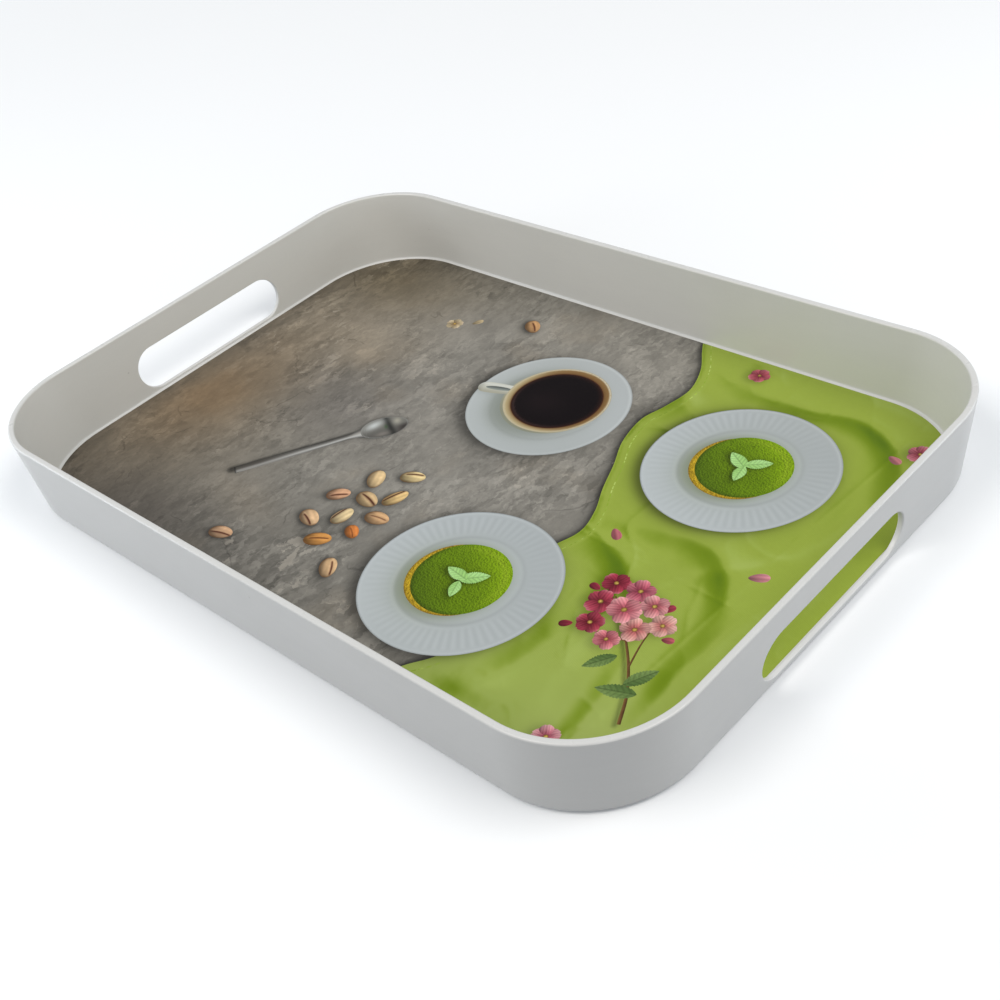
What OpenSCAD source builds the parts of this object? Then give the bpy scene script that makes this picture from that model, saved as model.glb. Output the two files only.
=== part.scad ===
// Shallow rectangular serving tray: one drafted moulded shell with two
// hand slots, and a printed decor film seated flush in its floor.
// The tray rests on z = 0, X runs along its length from hand slot to hand
// slot, Y across it, and the origin is the centre of its footprint.

/* [Tray shell] */
// Overall length at the rim, over both handle walls
tray_l = 450; // [400:1:520]
// Overall width at the rim, over both long walls
tray_w = 311; // [260:1:360]
// Overall height from the rest plane to the rim
tray_h = 47; // [42:0.5:60]
// Plan radius of the outer corners
corner_r = 55.7; // [50:0.1:62]
// Width of the rim measured over both of its small edge rounds
rim_t = 3.5; // [3:0.1:4.5]
// Lean of the outer face of the two handle walls, in degrees
lean_end = 7.0; // [6:0.1:8]
// Lean of the outer face of the two long walls, in degrees
lean_side = 3.6; // [2.5:0.1:5]
// Radius where the outer wall turns under the base
base_round = 4.0; // [3:0.1:4.4]

/* [Floor] */
// Level of the serving surface above the rest plane
floor_z = 3.6; // [3.2:0.1:5]
// Height of the foot ring that lifts the middle of the base
foot_h = 1.0; // [0.6:0.1:1.2]
// Width of the flat of the foot ring
foot_w = 7; // [5:0.5:12]
// Radius of the cove where the floor turns up into the wall
cove_r = 1.3; // [1:0.1:1.6]
// Distance from the handle wall's rim to the film's edge, along X
film_in_x = 9.1; // [8.9:0.1:9.6]
// Distance from the long wall's rim to the film's edge, along Y
film_in_y = 6.7; // [6.5:0.1:7.2]
// Plan radius of the film's corners
film_r = 55.9; // [52:0.1:58]

/* [Hand slots] */
// Length of each hand slot, end to end
slot_l = 108.5; // [90:0.5:125]
// Height of each hand slot
slot_h = 25.5; // [20:0.5:27]
// Level of the lower edge of each hand slot
slot_z = 5.6; // [5.4:0.1:8]

/* [Printed film] */
// Thickness of the printed film
film_t = 0.4; // [0.3:0.05:0.6]
// Gap between the film's edge and the edge of its seat
film_gap = 0.1; // [0.1:0.05:0.2]

/* [Hidden] */

half_l = tray_l / 2;
half_w = tray_w / 2;
rim_round = 1.0;                       // small rounds on both rim edges
seg = 20;                              // steps around each corner
film_x = half_l - film_in_x;           // half size of the film's seat
film_y = half_w - film_in_y;
strip = 0.2;                           // bare strip between film and cove

// half length and half width of the leaning outer faces at level z
function out_x(z) = half_l - tan(lean_end) * (tray_h - rim_round - z);
function out_y(z) = half_w - tan(lean_side) * (tray_h - rim_round - z);

// a ring is [half length, half width, corner radius, level]
function grow(ring, d, z) = [ring[0] + d, ring[1] + d, ring[2] + d, z];
function ring_points(ring) = [
    for (q = [0:3], i = [0:seg])
        let (a = q * 90 + i * 90 / seg,
             sx = (q == 0 || q == 3) ? 1 : -1,
             sy = (q < 2) ? 1 : -1)
        [sx * (ring[0] - ring[2]) + ring[2] * cos(a),
         sy * (ring[1] - ring[2]) + ring[2] * sin(a),
         ring[3]]
];

// outer surface, from the foot ring's inner edge outwards and upwards
base_turn = [out_x(base_round), out_y(base_round), corner_r - 0.3, 0];
foot_out = grow(base_turn, -base_round, 0);
foot_in = grow(foot_out, -foot_w, 0);
under = grow(foot_in, -foot_h, foot_h);
outer_turn = [for (a = [15:15:90])
    grow(base_turn, -base_round * (1 - sin(a)), base_round * (1 - cos(a)))];
rim_out = [out_x(tray_h - rim_round), out_y(tray_h - rim_round),
           corner_r, tray_h - rim_round];
rim_outer_turn = [for (a = [22.5:22.5:90])
    grow(rim_out, -rim_round * (1 - cos(a)), tray_h - rim_round * (1 - sin(a)))];

// inner surface, from the rim down to the film's seat
rim_in = [half_l - rim_t, half_w - rim_t, corner_r - rim_t, tray_h - rim_round];
rim_inner_turn = [for (a = [90:-22.5:22.5])
    grow(rim_in, rim_round * (1 - cos(a)), tray_h - rim_round * (1 - sin(a)))];
cove_top = [film_x + strip + cove_r, film_y + strip + cove_r,
            film_r + strip + cove_r, floor_z + cove_r];
cove_turn = [for (a = [30:30:90])
    grow(cove_top, -cove_r * (1 - cos(a)), floor_z + cove_r * (1 - sin(a)))];
seat_lip = [film_x, film_y, film_r, floor_z];
seat = [film_x, film_y, film_r, floor_z - film_t];

shell_rings = concat([under, foot_in, foot_out], outer_turn, [rim_out],
    rim_outer_turn, rim_inner_turn, [rim_in, cove_top], cove_turn,
    [seat_lip, seat]);

module lofted(rings) {
    n = 4 * (seg + 1);
    m = len(rings);
    polyhedron(
        points = [for (r = rings) each ring_points(r)],
        faces = concat(
            [[for (i = [0:n - 1]) i]],
            [for (k = [0:m - 2], i = [0:n - 1])
                let (j = (i + 1) % n)
                each [[k * n + i, (k + 1) * n + i, (k + 1) * n + j],
                      [k * n + i, (k + 1) * n + j, k * n + j]]],
            [[for (i = [n - 1:-1:0]) (m - 1) * n + i]]),
        convexity = 6);
}

module hand_slot() {
    r = slot_h / 2;
    translate([0, 0, slot_z + r]) rotate([90, 0, 90])
        linear_extrude(height = 40, center = true) {
            square([slot_l - slot_h, slot_h], center = true);
            for (s = [-1, 1]) translate([s * (slot_l / 2 - r), 0])
                circle(r = r, $fn = 64);
        }
}

// the moulded shell: base, walls and rim in one piece
module tray_body() {
    color([0.86, 0.87, 0.86])
    difference() {
        lofted(shell_rings);
        for (s = [-1, 1]) translate([s * (half_l - 4), 0, 0]) hand_slot();
    }
}

// the printed decor film, flush with the bare strip round the floor
module print_film() {
    x = film_x - film_gap;
    y = film_y - film_gap;
    r = film_r - film_gap;
    color([0.55, 0.53, 0.49])
    translate([0, 0, floor_z - film_t])
    linear_extrude(height = film_t) {
        square([2 * (x - r), 2 * y], center = true);
        square([2 * x, 2 * (y - r)], center = true);
        for (sx = [-1, 1], sy = [-1, 1])
            translate([sx * (x - r), sy * (y - r)]) circle(r = r, $fn = 96);
    }
}

tray_body();
print_film();
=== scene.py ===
# Serving tray: moulded plastic shell and a printed still-life film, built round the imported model.
import bpy, bmesh, math
import numpy as np
from mathutils import Vector, Matrix
from mathutils.geometry import delaunay_2d_cdt


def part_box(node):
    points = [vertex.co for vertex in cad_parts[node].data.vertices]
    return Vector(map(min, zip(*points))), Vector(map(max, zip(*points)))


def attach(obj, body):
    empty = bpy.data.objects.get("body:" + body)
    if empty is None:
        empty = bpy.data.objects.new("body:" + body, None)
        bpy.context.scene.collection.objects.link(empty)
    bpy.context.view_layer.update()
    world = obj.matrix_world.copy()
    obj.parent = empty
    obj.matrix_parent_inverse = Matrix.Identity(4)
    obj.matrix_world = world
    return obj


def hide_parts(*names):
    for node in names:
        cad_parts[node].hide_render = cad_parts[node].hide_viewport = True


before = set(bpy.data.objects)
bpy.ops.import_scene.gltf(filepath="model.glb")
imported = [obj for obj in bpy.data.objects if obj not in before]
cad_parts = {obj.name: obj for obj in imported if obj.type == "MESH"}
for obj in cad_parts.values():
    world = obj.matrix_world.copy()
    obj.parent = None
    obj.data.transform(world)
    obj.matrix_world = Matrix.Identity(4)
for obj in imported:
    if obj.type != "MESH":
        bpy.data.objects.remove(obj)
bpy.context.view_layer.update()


BODY = [np.array(v, float) * 1000 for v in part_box("tray_body")]     # mm
FILM = [np.array(v, float) * 1000 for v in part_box("print_film")]
scene = bpy.context.scene
scene.view_settings.view_transform = "Standard"
scene.view_settings.look = "None"

# ================================================================ node helpers
def new_mat(name):
    m = bpy.data.materials.new(name)
    m.use_nodes = True
    nt = m.node_tree
    nt.nodes.clear()
    out = nt.nodes.new("ShaderNodeOutputMaterial")
    b = nt.nodes.new("ShaderNodeBsdfPrincipled")
    nt.links.new(b.outputs[0], out.inputs[0])
    return m, nt, b


class N:
    """Short hand for building node graphs."""
    def __init__(s, nt):
        s.nt = nt

    def put(s, sock, v):
        if isinstance(v, bpy.types.NodeSocket):
            s.nt.links.new(v, sock)
        elif v is not None:
            sock.default_value = v

    def math(s, op, a, b=None, c=None, clamp=False):
        n = s.nt.nodes.new("ShaderNodeMath"); n.operation = op; n.use_clamp = clamp
        s.put(n.inputs[0], a); s.put(n.inputs[1], b); s.put(n.inputs[2], c)
        return n.outputs[0]

    def vmath(s, op, a, b=None):
        n = s.nt.nodes.new("ShaderNodeVectorMath"); n.operation = op
        s.put(n.inputs[0], a); s.put(n.inputs[1], b)
        return n.outputs[0]

    def noise(s, vec, scale, detail=2.0, rough=0.5, dist=0.0, out=0, w=None):
        n = s.nt.nodes.new("ShaderNodeTexNoise")
        if w is not None:
            n.noise_dimensions = "4D"; n.inputs["W"].default_value = w
        s.put(n.inputs["Vector"], vec)
        n.inputs["Scale"].default_value = scale
        n.inputs["Detail"].default_value = detail
        n.inputs["Roughness"].default_value = rough
        n.inputs["Distortion"].default_value = dist
        return n.outputs[out]

    def voronoi(s, vec, scale, feature="F1", rnd=1.0, out="Distance"):
        n = s.nt.nodes.new("ShaderNodeTexVoronoi"); n.feature = feature
        s.put(n.inputs["Vector"], vec)
        n.inputs["Scale"].default_value = scale
        n.inputs["Randomness"].default_value = rnd
        return n.outputs[out]

    def mapping(s, vec, scale=(1, 1, 1), rot=(0, 0, 0), loc=(0, 0, 0)):
        n = s.nt.nodes.new("ShaderNodeMapping")
        s.put(n.inputs["Vector"], vec)
        n.inputs["Scale"].default_value = scale
        n.inputs["Rotation"].default_value = rot
        n.inputs["Location"].default_value = loc
        return n.outputs[0]

    def ramp(s, v, a, b, lo=0.0, hi=1.0, smooth=True):
        n = s.nt.nodes.new("ShaderNodeMapRange")
        n.interpolation_type = "SMOOTHSTEP" if smooth else "LINEAR"
        s.put(n.inputs[0], v)
        n.inputs[1].default_value = a; n.inputs[2].default_value = b
        n.inputs[3].default_value = lo; n.inputs[4].default_value = hi
        return n.outputs[0]

    def mix(s, f, a, b, mode="MIX"):
        n = s.nt.nodes.new("ShaderNodeMix"); n.data_type = "RGBA"; n.blend_type = mode
        n.clamp_factor = True
        s.put(n.inputs[0], f)
        for sock, v in ((n.inputs[6], a), (n.inputs[7], b)):
            if isinstance(v, (tuple, list)) and len(v) == 3:
                v = (*v, 1.0)
            s.put(sock, v)
        return n.outputs[2]

    def attr(s, name, out="Color"):
        n = s.nt.nodes.new("ShaderNodeAttribute"); n.attribute_name = name
        return n.outputs[out]

    def coord(s):
        return s.nt.nodes.new("ShaderNodeTexCoord").outputs["Object"]

    def bump(s, height, strength, dist, normal=None):
        n = s.nt.nodes.new("ShaderNodeBump")
        n.inputs["Strength"].default_value = strength
        n.inputs["Distance"].default_value = dist
        s.put(n.inputs["Height"], height)
        s.put(n.inputs["Normal"], normal)
        return n.outputs[0]

    def scale_col(s, col, k):
        """A colour multiplied by a number that varies over the surface."""
        n = s.nt.nodes.new("ShaderNodeVectorMath"); n.operation = "SCALE"
        s.put(n.inputs[0], col); s.put(n.inputs[3], k)
        return n.outputs[0]

    def remap(s, v, lo, hi):
        """0..1 to lo..hi."""
        return s.math("MULTIPLY_ADD", v, hi - lo, lo)

# ================================================================ the picture on the film
pi = np.pi

# ---------------------------------------------------------------- helpers
def lin(c):
    c = np.asarray(c, float) / 255.0
    return np.where(c <= 0.04045, c / 12.92, ((c + 0.055) / 1.055) ** 2.4)

def mix(a, b, t):
    t = np.clip(t, 0, 1)[..., None]
    return np.asarray(a, float) * (1 - t) + np.asarray(b, float) * t

def sstep(a, b, x):
    t = np.clip((x - a) / (b - a), 0, 1)
    return t * t * (3 - 2 * t)

def hash2(ix, iy, seed):
    n = (ix.astype(np.int64) * 73856093) ^ (iy.astype(np.int64) * 19349663) ^ (seed * 83492791)
    n = (n ^ (n >> 13)) * 1274126177
    n = (n ^ (n >> 16)) & 0xFFFFFF
    return n / float(0xFFFFFF)

def vnoise(x, y, seed=0):
    ix, iy = np.floor(x), np.floor(y)
    fx, fy = x - ix, y - iy
    fx, fy = fx * fx * (3 - 2 * fx), fy * fy * (3 - 2 * fy)
    a, b = hash2(ix, iy, seed), hash2(ix + 1, iy, seed)
    c, d = hash2(ix, iy + 1, seed), hash2(ix + 1, iy + 1, seed)
    return (a * (1 - fx) + b * fx) * (1 - fy) + (c * (1 - fx) + d * fx) * fy

def fbm(x, y, size, octaves=3, seed=0):
    s, amp, tot = 0, 1.0, 0
    for o in range(octaves):
        k = 2 ** o / size
        s = s + amp * (vnoise(x * k + 17.3 * o, y * k - 9.1 * o, seed + o) - 0.5)
        tot += amp
        amp *= 0.5
    return 2 * s / tot

def spline(pts, step=1.0):
    # smooth curve through a few given points
    p = np.asarray(pts, float)
    if len(p) < 3:
        n = max(2, int(np.linalg.norm(p[-1] - p[0]) / step) + 1)
        return p[0] + (p[-1] - p[0]) * np.linspace(0, 1, n)[:, None]
    q = np.vstack([2 * p[0] - p[1], p, 2 * p[-1] - p[-2]])
    out = []
    for i in range(1, len(q) - 2):
        n = max(2, int(np.linalg.norm(q[i + 1] - q[i]) / step) + 1)
        t = np.linspace(0, 1, n, endpoint=False)[:, None]
        a, b, c, d = q[i - 1], q[i], q[i + 1], q[i + 2]
        out.append(0.5 * (2 * b + (c - a) * t + (2 * a - 5 * b + 4 * c - d) * t ** 2
                          + (3 * b - a - 3 * c + d) * t ** 3))
    return np.vstack(out + [q[-2:-1]])

def along(x, y, line):
    # signed distance to a polyline (left of travel is positive) and the share of its length
    x, y = np.asarray(x, float), np.asarray(y, float)
    best = np.full(x.shape, 1e9); sgn = np.ones(x.shape); tt = np.zeros(x.shape)
    seg = np.linalg.norm(np.diff(line, axis=0), axis=1); tot = seg.sum(); acc = 0
    for i in range(len(line) - 1):
        ax, ay = line[i]; dx, dy = line[i + 1] - line[i]
        L2 = dx * dx + dy * dy + 1e-12
        t = np.clip(((x - ax) * dx + (y - ay) * dy) / L2, 0, 1)
        ex, ey = x - ax - t * dx, y - ay - t * dy
        d2 = ex * ex + ey * ey
        m = d2 < best
        best = np.where(m, d2, best)
        sgn = np.where(m, np.sign(dx * ey - dy * ex), sgn)
        tt = np.where(m, (acc + t * seg[i]) / tot, tt)
        acc += seg[i]
    return np.sqrt(best), sgn, tt

def in_poly(x, y, poly):
    x, y = np.asarray(x, float), np.asarray(y, float)
    inside = np.zeros(x.shape, bool)
    n = len(poly)
    for i in range(n):
        x0, y0 = poly[i]; x1, y1 = poly[(i + 1) % n]
        c = (y0 > y) != (y1 > y)
        with np.errstate(divide="ignore", invalid="ignore"):
            xx = x0 + (y - y0) * (x1 - x0) / (y1 - y0)
        inside ^= c & (x < xx)
    return inside

def ellipse_pts(cx, cy, rx, ry, ang=0, n=96, shape=0.0, k=1.0):
    a = np.linspace(0, 2 * pi, n, endpoint=False)
    u = np.cos(a) * rx * k
    v = np.sin(a) * ry * k * (1 + shape * np.cos(a))
    c, s = np.cos(np.radians(ang)), np.sin(np.radians(ang))
    return np.column_stack([cx + u * c - v * s, cy + u * s + v * c])

def local(x, y, cx, cy, ang=0):
    c, s = np.cos(np.radians(ang)), np.sin(np.radians(ang))
    dx, dy = x - cx, y - cy
    return dx * c + dy * s, -dx * s + dy * c

# ---------------------------------------------------------------- layout, in mm on the tray's floor
# An invented still life: coffee, two small cakes, a napkin, a spoon, nuts and a blossom twig.
SAUCER = (3.0, 60.0, 46.5, 45.5)
CUP = (4.5, 65.5, 30.5, 29.6)
COFFEE = (4.9, 65.0, 26.2, 25.2)
PLATES = [(125.0, 66.0, 50.0, 49.2), (61.0, -71.0, 50.8, 50.0)]
CAKES = [(126.5, 67.5, 24.6, 24.0), (61.0, -70.0, 25.0, 24.6)]
BASES = [(-2.0, -2.2, 25.0, 24.3), (-2.2, -1.8, 25.4, 24.9)]

NUTS = [  # x, y, half length, half width, angle, colour, slit offset, slit strength
    (-17.0, -26.0, 7.2, 4.6, 24, (204, 182, 134), 0.5, 0.6),
    (-33.5, -37.5, 7.4, 4.9, -58, (206, 178, 134), 0.1, 0.0),
    (-12.5, -43.5, 7.6, 4.5, 70, (198, 168, 116), 0.55, 0.8),
    (-25.0, -52.0, 7.7, 5.0, -14, (190, 162, 122), 0.2, 1.0),
    (-42.0, -57.0, 6.7, 4.6, 38, (192, 148, 116), -0.1, 0.7),
    (-9.0, -60.0, 7.3, 4.8, 8, (190, 152, 112), 0.15, 0.2),
    (-26.5, -68.5, 6.9, 4.7, 84, (204, 182, 140), 0.7, 0.5),
    (-12.5, -74.5, 5.6, 3.7, -34, (196, 120, 62), 0.0, 0.2),
    (-41.0, -78.5, 7.5, 4.8, -22, (204, 170, 132), -0.25, 0.7),
    (-24.0, -88.0, 7.6, 4.9, 30, (192, 136, 74), 0.15, 0.35),
    (-2.5, -100.0, 7.3, 4.6, -50, (200, 166, 126), 0.4, 0.6),
    (-74.0, -112.0, 7.2, 4.6, 15, (186, 150, 118), -0.1, 0.9),
    (-58.0, 116.0, 6.9, 4.5, -40, (182, 140, 96), 0.2, 0.6),
]

CLOTH_EDGE = spline([(40, 152), (47, 141), (57, 126), (63, 108), (60.5, 90), (56.5, 74), (60, 54), (68.5, 36),
                     (76, 18), (84, 2), (87.5, -14), (82, -34), (84, -60), (92, -88), (88, -112), (79, -126),
                     (72.5, -139), (73, -152)], 1.5)
CLOTH = np.vstack([CLOTH_EDGE, [(225, -152), (225, 152)]])

# ridges of the cloth: points, width to the left, width to the right, height, all in mm
FOLDS = [
    ([(60, 140), (76, 128), (98, 123), (126, 125), (152, 128), (176, 121), (193, 102), (203, 78), (212, 50)], 7, 4.0, 5.2),
    ([(112, 154), (132, 143), (158, 142), (184, 137), (204, 124), (220, 112)], 6, 7, 3.6),
    ([(66, 112), (70, 98), (80, 90)], 4, 4, 2.6),
    ([(172, 98), (184, 76), (189, 52), (184, 28), (171, 8), (154, -8), (141, -30), (134, -60), (137, -92), (147, -122), (152, -154)], 4.2, 8.5, 6.2),
    ([(219, 44), (204, 24), (196, 0), (190, -30), (186, -66), (190, -104), (199, -154)], 7.5, 5.0, 4.6),
    ([(86, 8), (102, 3), (120, 8), (140, 12), (160, 6), (174, -10), (181, -34), (178, -60)], 7.5, 2.4, 4.6),
    ([(88, -8), (102, -14), (118, -18), (132, -30), (140, -44)], 5.0, 2.2, 3.4),
    ([(116, -50), (123, -76), (120, -104), (110, -128), (103, -154)], 3.6, 7.0, 4.2),
    ([(90, -118), (100, -122), (114, -120), (128, -112), (136, -98)], 4.5, 2.6, 2.4),
    ([(158, -44), (163, -78), (170, -108), (172, -154)], 6.0, 4.0, 3.4),
    ([(210, -10), (209, -50), (214, -92), (216, -154)], 5, 5, 3.2),
    ([(74, -132), (92, -140), (112, -142), (130, -150)], 4, 4, 1.8),
    ([(206, 154), (202, 138), (208, 118)], 5, 5, 2.2),
    ([(182, -118), (178, -132), (181, -154)], 3.5, 3.5, 2.0),
    ([(78, 150), (92, 140), (108, 138)], 4, 5, 2.0),
]
FOLDS = [(spline(p, 4.0), a, b, h) for p, a, b, h in FOLDS]

MAP_X0, MAP_Y0, MAP_S = 30.0, -156.0, 0.6     # the cloth's relief is worked out once on a fine grid

def relief_map():
    xs = np.arange(MAP_X0, 224.0, MAP_S); ys = np.arange(MAP_Y0, 157.0, MAP_S)
    X, Y = np.meshgrid(xs, ys)
    wx = X + 2.2 * fbm(X, Y, 26, 2, 71); wy = Y + 2.2 * fbm(X, Y, 26, 2, 81)
    h = 3.0 * fbm(X, Y, 60, 2, 5) + 0.07 * fbm(X, Y, 9, 2, 15)
    for line, wl, wr, hgt in FOLDS:
        r = 6.0 * max(wl, wr, 4.4)
        m = ((wx > line[:, 0].min() - r) & (wx < line[:, 0].max() + r)
             & (wy > line[:, 1].min() - r) & (wy < line[:, 1].max() + r))
        d, sg, t = along(wx[m], wy[m], line)
        w = 1.55 * np.maximum(np.where(sg > 0, wl, wr), 4.4) * (0.85 + 0.3 * t)
        crest = np.sqrt(d * d + 1.0) - 1.0
        end = sstep(-0.02, 0.46, t) * sstep(-0.02, 0.46, 1 - t)
        h[m] += 0.98 * hgt * np.exp(-(np.maximum(crest, 0) / (w + 0.9)) ** 1.5) * end * (d < r)
    # fine wrinkles where a slow wander crosses nought, and the two pressed creases of a napkin that was folded in four
    for seed, size, amp, pw in ((41, 46, 0.85, 7), (47, 30, 0.42, 6), (53, 19, 0.22, 5)):
        n = fbm(wx + 0.35 * wy, wy, size, 2, seed)
        mask = sstep(-0.25, 0.35, fbm(X, Y, 60, 2, seed + 3))
        h += amp * mask * np.clip(1 - 1.5 * np.abs(n), 0, 1) ** pw
    bend = 1.6 * fbm(X, Y, 90, 1, 61)
    h += 0.26 * np.exp(-np.abs(X - 0.06 * Y - 176 + bend) / 0.9) + 0.22 * np.exp(-np.abs(Y + 0.06 * X + 8 + bend) / 0.9)
    d, sg, t = along(X, Y, CLOTH_EDGE)
    h += 0.30 * sstep(6.2, 5.0, d) - 0.55 * np.exp(-d / 1.0)
    gy, gx = np.gradient(h, MAP_S)
    L = np.array([0.60, 0.66, 0.62]); L = L / np.linalg.norm(L)
    lam = (L[2] - gx * L[0] - gy * L[1]) / np.sqrt(1 + gx * gx + gy * gy) / L[2]
    # soft cast shade: how far the ground towards the light stands above the light's own line
    shade = np.zeros_like(h)
    dx, dy = 0.67, 0.74
    for k in range(1, 26):
        sx, sy = int(round(k * 1.6 * dx)), int(round(k * 1.6 * dy))
        far = np.zeros_like(h) - 99
        far[:h.shape[0] - sy, :h.shape[1] - sx] = h[sy:, sx:]
        over = far - h - k * 1.6 * MAP_S * 0.62
        shade = np.maximum(shade, np.clip(over / 1.0, 0, 1))
    # hollows get less light
    def blur(a, n):
        for ax in (0, 1):
            c = np.cumsum(np.concatenate([np.repeat(np.take(a, [0], ax), n + 1, ax), a, np.repeat(np.take(a, [-1], ax), n, ax)], ax), ax)
            hi = np.take(c, range(2 * n + 1, c.shape[ax]), ax); lo = np.take(c, range(0, c.shape[ax] - 2 * n - 1), ax)
            a = (hi - lo) / (2 * n + 1)
        return a
    hollow = blur(blur(h, 9), 9) - h
    tone = (0.28 + 0.72 * lam) * (1 - 0.26 * blur(shade, 5)) * (1 - 0.070 * np.clip(hollow, -2.2, 3.0))
    return blur(tone, 1)

TONE = relief_map()

def cloth_tone(x, y):
    fx = np.clip((x - MAP_X0) / MAP_S, 0, TONE.shape[1] - 1.001); fy = np.clip((y - MAP_Y0) / MAP_S, 0, TONE.shape[0] - 1.001)
    ix, iy = fx.astype(int), fy.astype(int); fx, fy = fx - ix, fy - iy
    return ((TONE[iy, ix] * (1 - fx) + TONE[iy, ix + 1] * fx) * (1 - fy)
            + (TONE[iy + 1, ix] * (1 - fx) + TONE[iy + 1, ix + 1] * fx) * fy)

def soft_shadow(x, y, cx, cy, rx, ry, ang, dx, dy, soft):
    u, v = local(x, y, cx + dx, cy + dy, ang)
    k = np.sqrt((u / rx) ** 2 + (v / ry) ** 2)
    d = (k - 1) * min(rx, ry)
    return 1 / (1 + np.exp(np.clip(d / soft, -30, 30)))

# the spoon is drawn upright and then laid down at an angle
SPOON_X, SPOON_Y, SPOON_A = -64.0, -2.0, -36.0
def to_spoon(x, y):
    u, v = local(x, y, SPOON_X, SPOON_Y, SPOON_A)
    return u - 13.5, v + 10.6

def from_spoon(p):
    u, v = p[:, 0] + 13.5, p[:, 1] - 10.6
    c, s = np.cos(np.radians(SPOON_A)), np.sin(np.radians(SPOON_A))
    return np.column_stack([SPOON_X + u * c - v * s, SPOON_Y + u * s + v * c])

def ground_shadow(x, y):
    s = 1.0
    cx, cy, rx, ry = SAUCER
    s = s * (1 - 0.42 * soft_shadow(x, y, cx, cy, rx, ry, 0, -3.0, -2.8, 1.8)) * (1 - 0.14 * soft_shadow(x, y, cx, cy, rx, ry, 0, -5, -5, 6))
    for cx, cy, rx, ry in PLATES:
        s = s * (1 - 0.42 * soft_shadow(x, y, cx, cy, rx, ry, 0, -2.6, -2.4, 1.8)) * (1 - 0.14 * soft_shadow(x, y, cx, cy, rx, ry, 0, -5, -5, 6))
    for n in NUTS:
        s = s * (1 - 0.5 * soft_shadow(x, y, n[0], n[1], n[2], n[3], n[4], -1.1, -1.0, 0.7))
        s = s * (1 - 0.10 * soft_shadow(x, y, n[0], n[1], n[2], n[3], n[4], -2, -1.8, 2))
    s = s * (1 - 0.38 * soft_shadow(x, y, SPOON_X, SPOON_Y, 9.6, 14, SPOON_A, -1.0, -1.0, 0.9))
    ends = from_spoon(np.array([(-13.6, -4.0), (-10.0, -74.5)]))
    d, sg, t = along(x + 0.9, y + 1.0, ends)
    s = s * (1 - 0.50 * np.exp(-(np.maximum(d - 1.4, 0) / 1.5) ** 2))
    # dark gap where the cloth leaves the stone
    d, sg, t = along(x, y, CLOTH_EDGE)
    s = s * (1 - 0.42 * np.exp(-(d / 1.9) ** 2)) * (1 - 0.20 * np.exp(-(d / 6) ** 2))
    return s

# ---------------------------------------------------------------- colours, evaluated anywhere
def col_stone(x, y):
    c = mix((139, 135, 127), (129, 120, 106), sstep(-60, -190, x) * 0.9)
    w = 14 * fbm(x, y, 60, 3, 91)
    c = mix(c, (124, 98, 68), 0.55 * np.exp(-((x + 188 + w) / 40) ** 2 - ((y + 30 - w) / 62) ** 2))
    c = mix(c, (100, 88, 66), 0.65 * np.exp(-((x + 186 - w) / 50) ** 2 - ((y - 120 + w) / 34) ** 2))
    c = mix(c, (94, 89, 78), 0.40 * sstep(96, 152, y + w) * sstep(40, -120, x))
    c = mix(c, (100, 96, 93), 0.50 * np.exp(-((x + 104 + w) / 44) ** 2 - ((y - 4 + 2 * w) / 30) ** 2))
    c = mix(c, (102, 96, 92), 0.45 * np.exp(-((x + 132 - w) / 60) ** 2 - ((y + 122 + w) / 26) ** 2))
    c = mix(c, (160, 147, 128), 0.50 * np.exp(-((x + 146 + 2 * w) / 34) ** 2 - ((y - 52 + w) / 20) ** 2))
    c = mix(c, (156, 144, 127), 0.40 * np.exp(-((x + 84 - w) / 30) ** 2 - ((y + 84 - 2 * w) / 18) ** 2))
    c = mix(c, (88, 80, 68), 0.26 * sstep(-196, -217, x + 0.5 * w))
    c = mix(c, (150, 147, 141), 0.25 * np.exp(-((x - 10) / 60) ** 2 - ((y + 40) / 70) ** 2))
    c = c * (0.95 - 0.17 * sstep(-20, -150, y) * sstep(60, -60, x) - 0.07 * sstep(-150, -216, x - 0.4 * y + 30))[..., None]
    c = c * (1 + 0.07 * fbm(x, y, 22, 3, 95))[..., None]
    return 1.09 * c * ground_shadow(x, y)[..., None]

def col_cloth(x, y):
    t = cloth_tone(x, y)
    base = mix((164, 183, 74), (168, 186, 92), sstep(20, -130, y))
    base = mix(base, (160, 179, 68), sstep(175, 214, x))
    # paler, greyer patch towards the near right corner: a painted sheen of light on the glossy film
    base = mix(base, (170, 183, 108), 0.6 * sstep(-60, -135, y) * sstep(110, 190, x))
    c = mix(base, (122, 148, 28), sstep(1.0, 0.62, t))
    c = mix(c, (92, 122, 20), sstep(0.68, 0.34, t))
    c = mix(c, (66, 94, 12), sstep(0.36, 0.05, t))
    c = mix(c, (188, 206, 114), 0.75 * sstep(1.06, 1.50, t))
    c = mix(c, (206, 222, 142), 0.5 * sstep(1.36, 1.6, t))
    s = np.ones(np.shape(x))
    for cx, cy, rx, ry in [SAUCER] + PLATES:
        s = s * (1 - 0.46 * soft_shadow(x, y, cx, cy, rx, ry, 0, -2.2, -2.2, 1.7)) * (1 - 0.16 * soft_shadow(x, y, cx, cy, rx, ry, 0, -2.0, -2.0, 5))
    for bx, by, br, *_ in BLOSSOMS:
        s = s * (1 - 0.20 * soft_shadow(x, y, bx, by, br * 0.92, br * 0.92, 0, -1.6, -1.7, 1.5))
    d, sg, tt = along(x + 1.2, y + 1.3, STEM)
    s = s * (1 - 0.28 * np.exp(-(d / 1.2) ** 2))
    return c * (0.965 * np.maximum(s, 0.30))[..., None]

def col_stitch(x, y):
    return mix((138, 164, 52), (182, 202, 108), sstep(-0.1, 0.6, fbm(x, y, 3, 1, 9))) * np.clip(0.45 + 0.55 * cloth_tone(x, y), 0.3, 1.2)[..., None]

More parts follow.
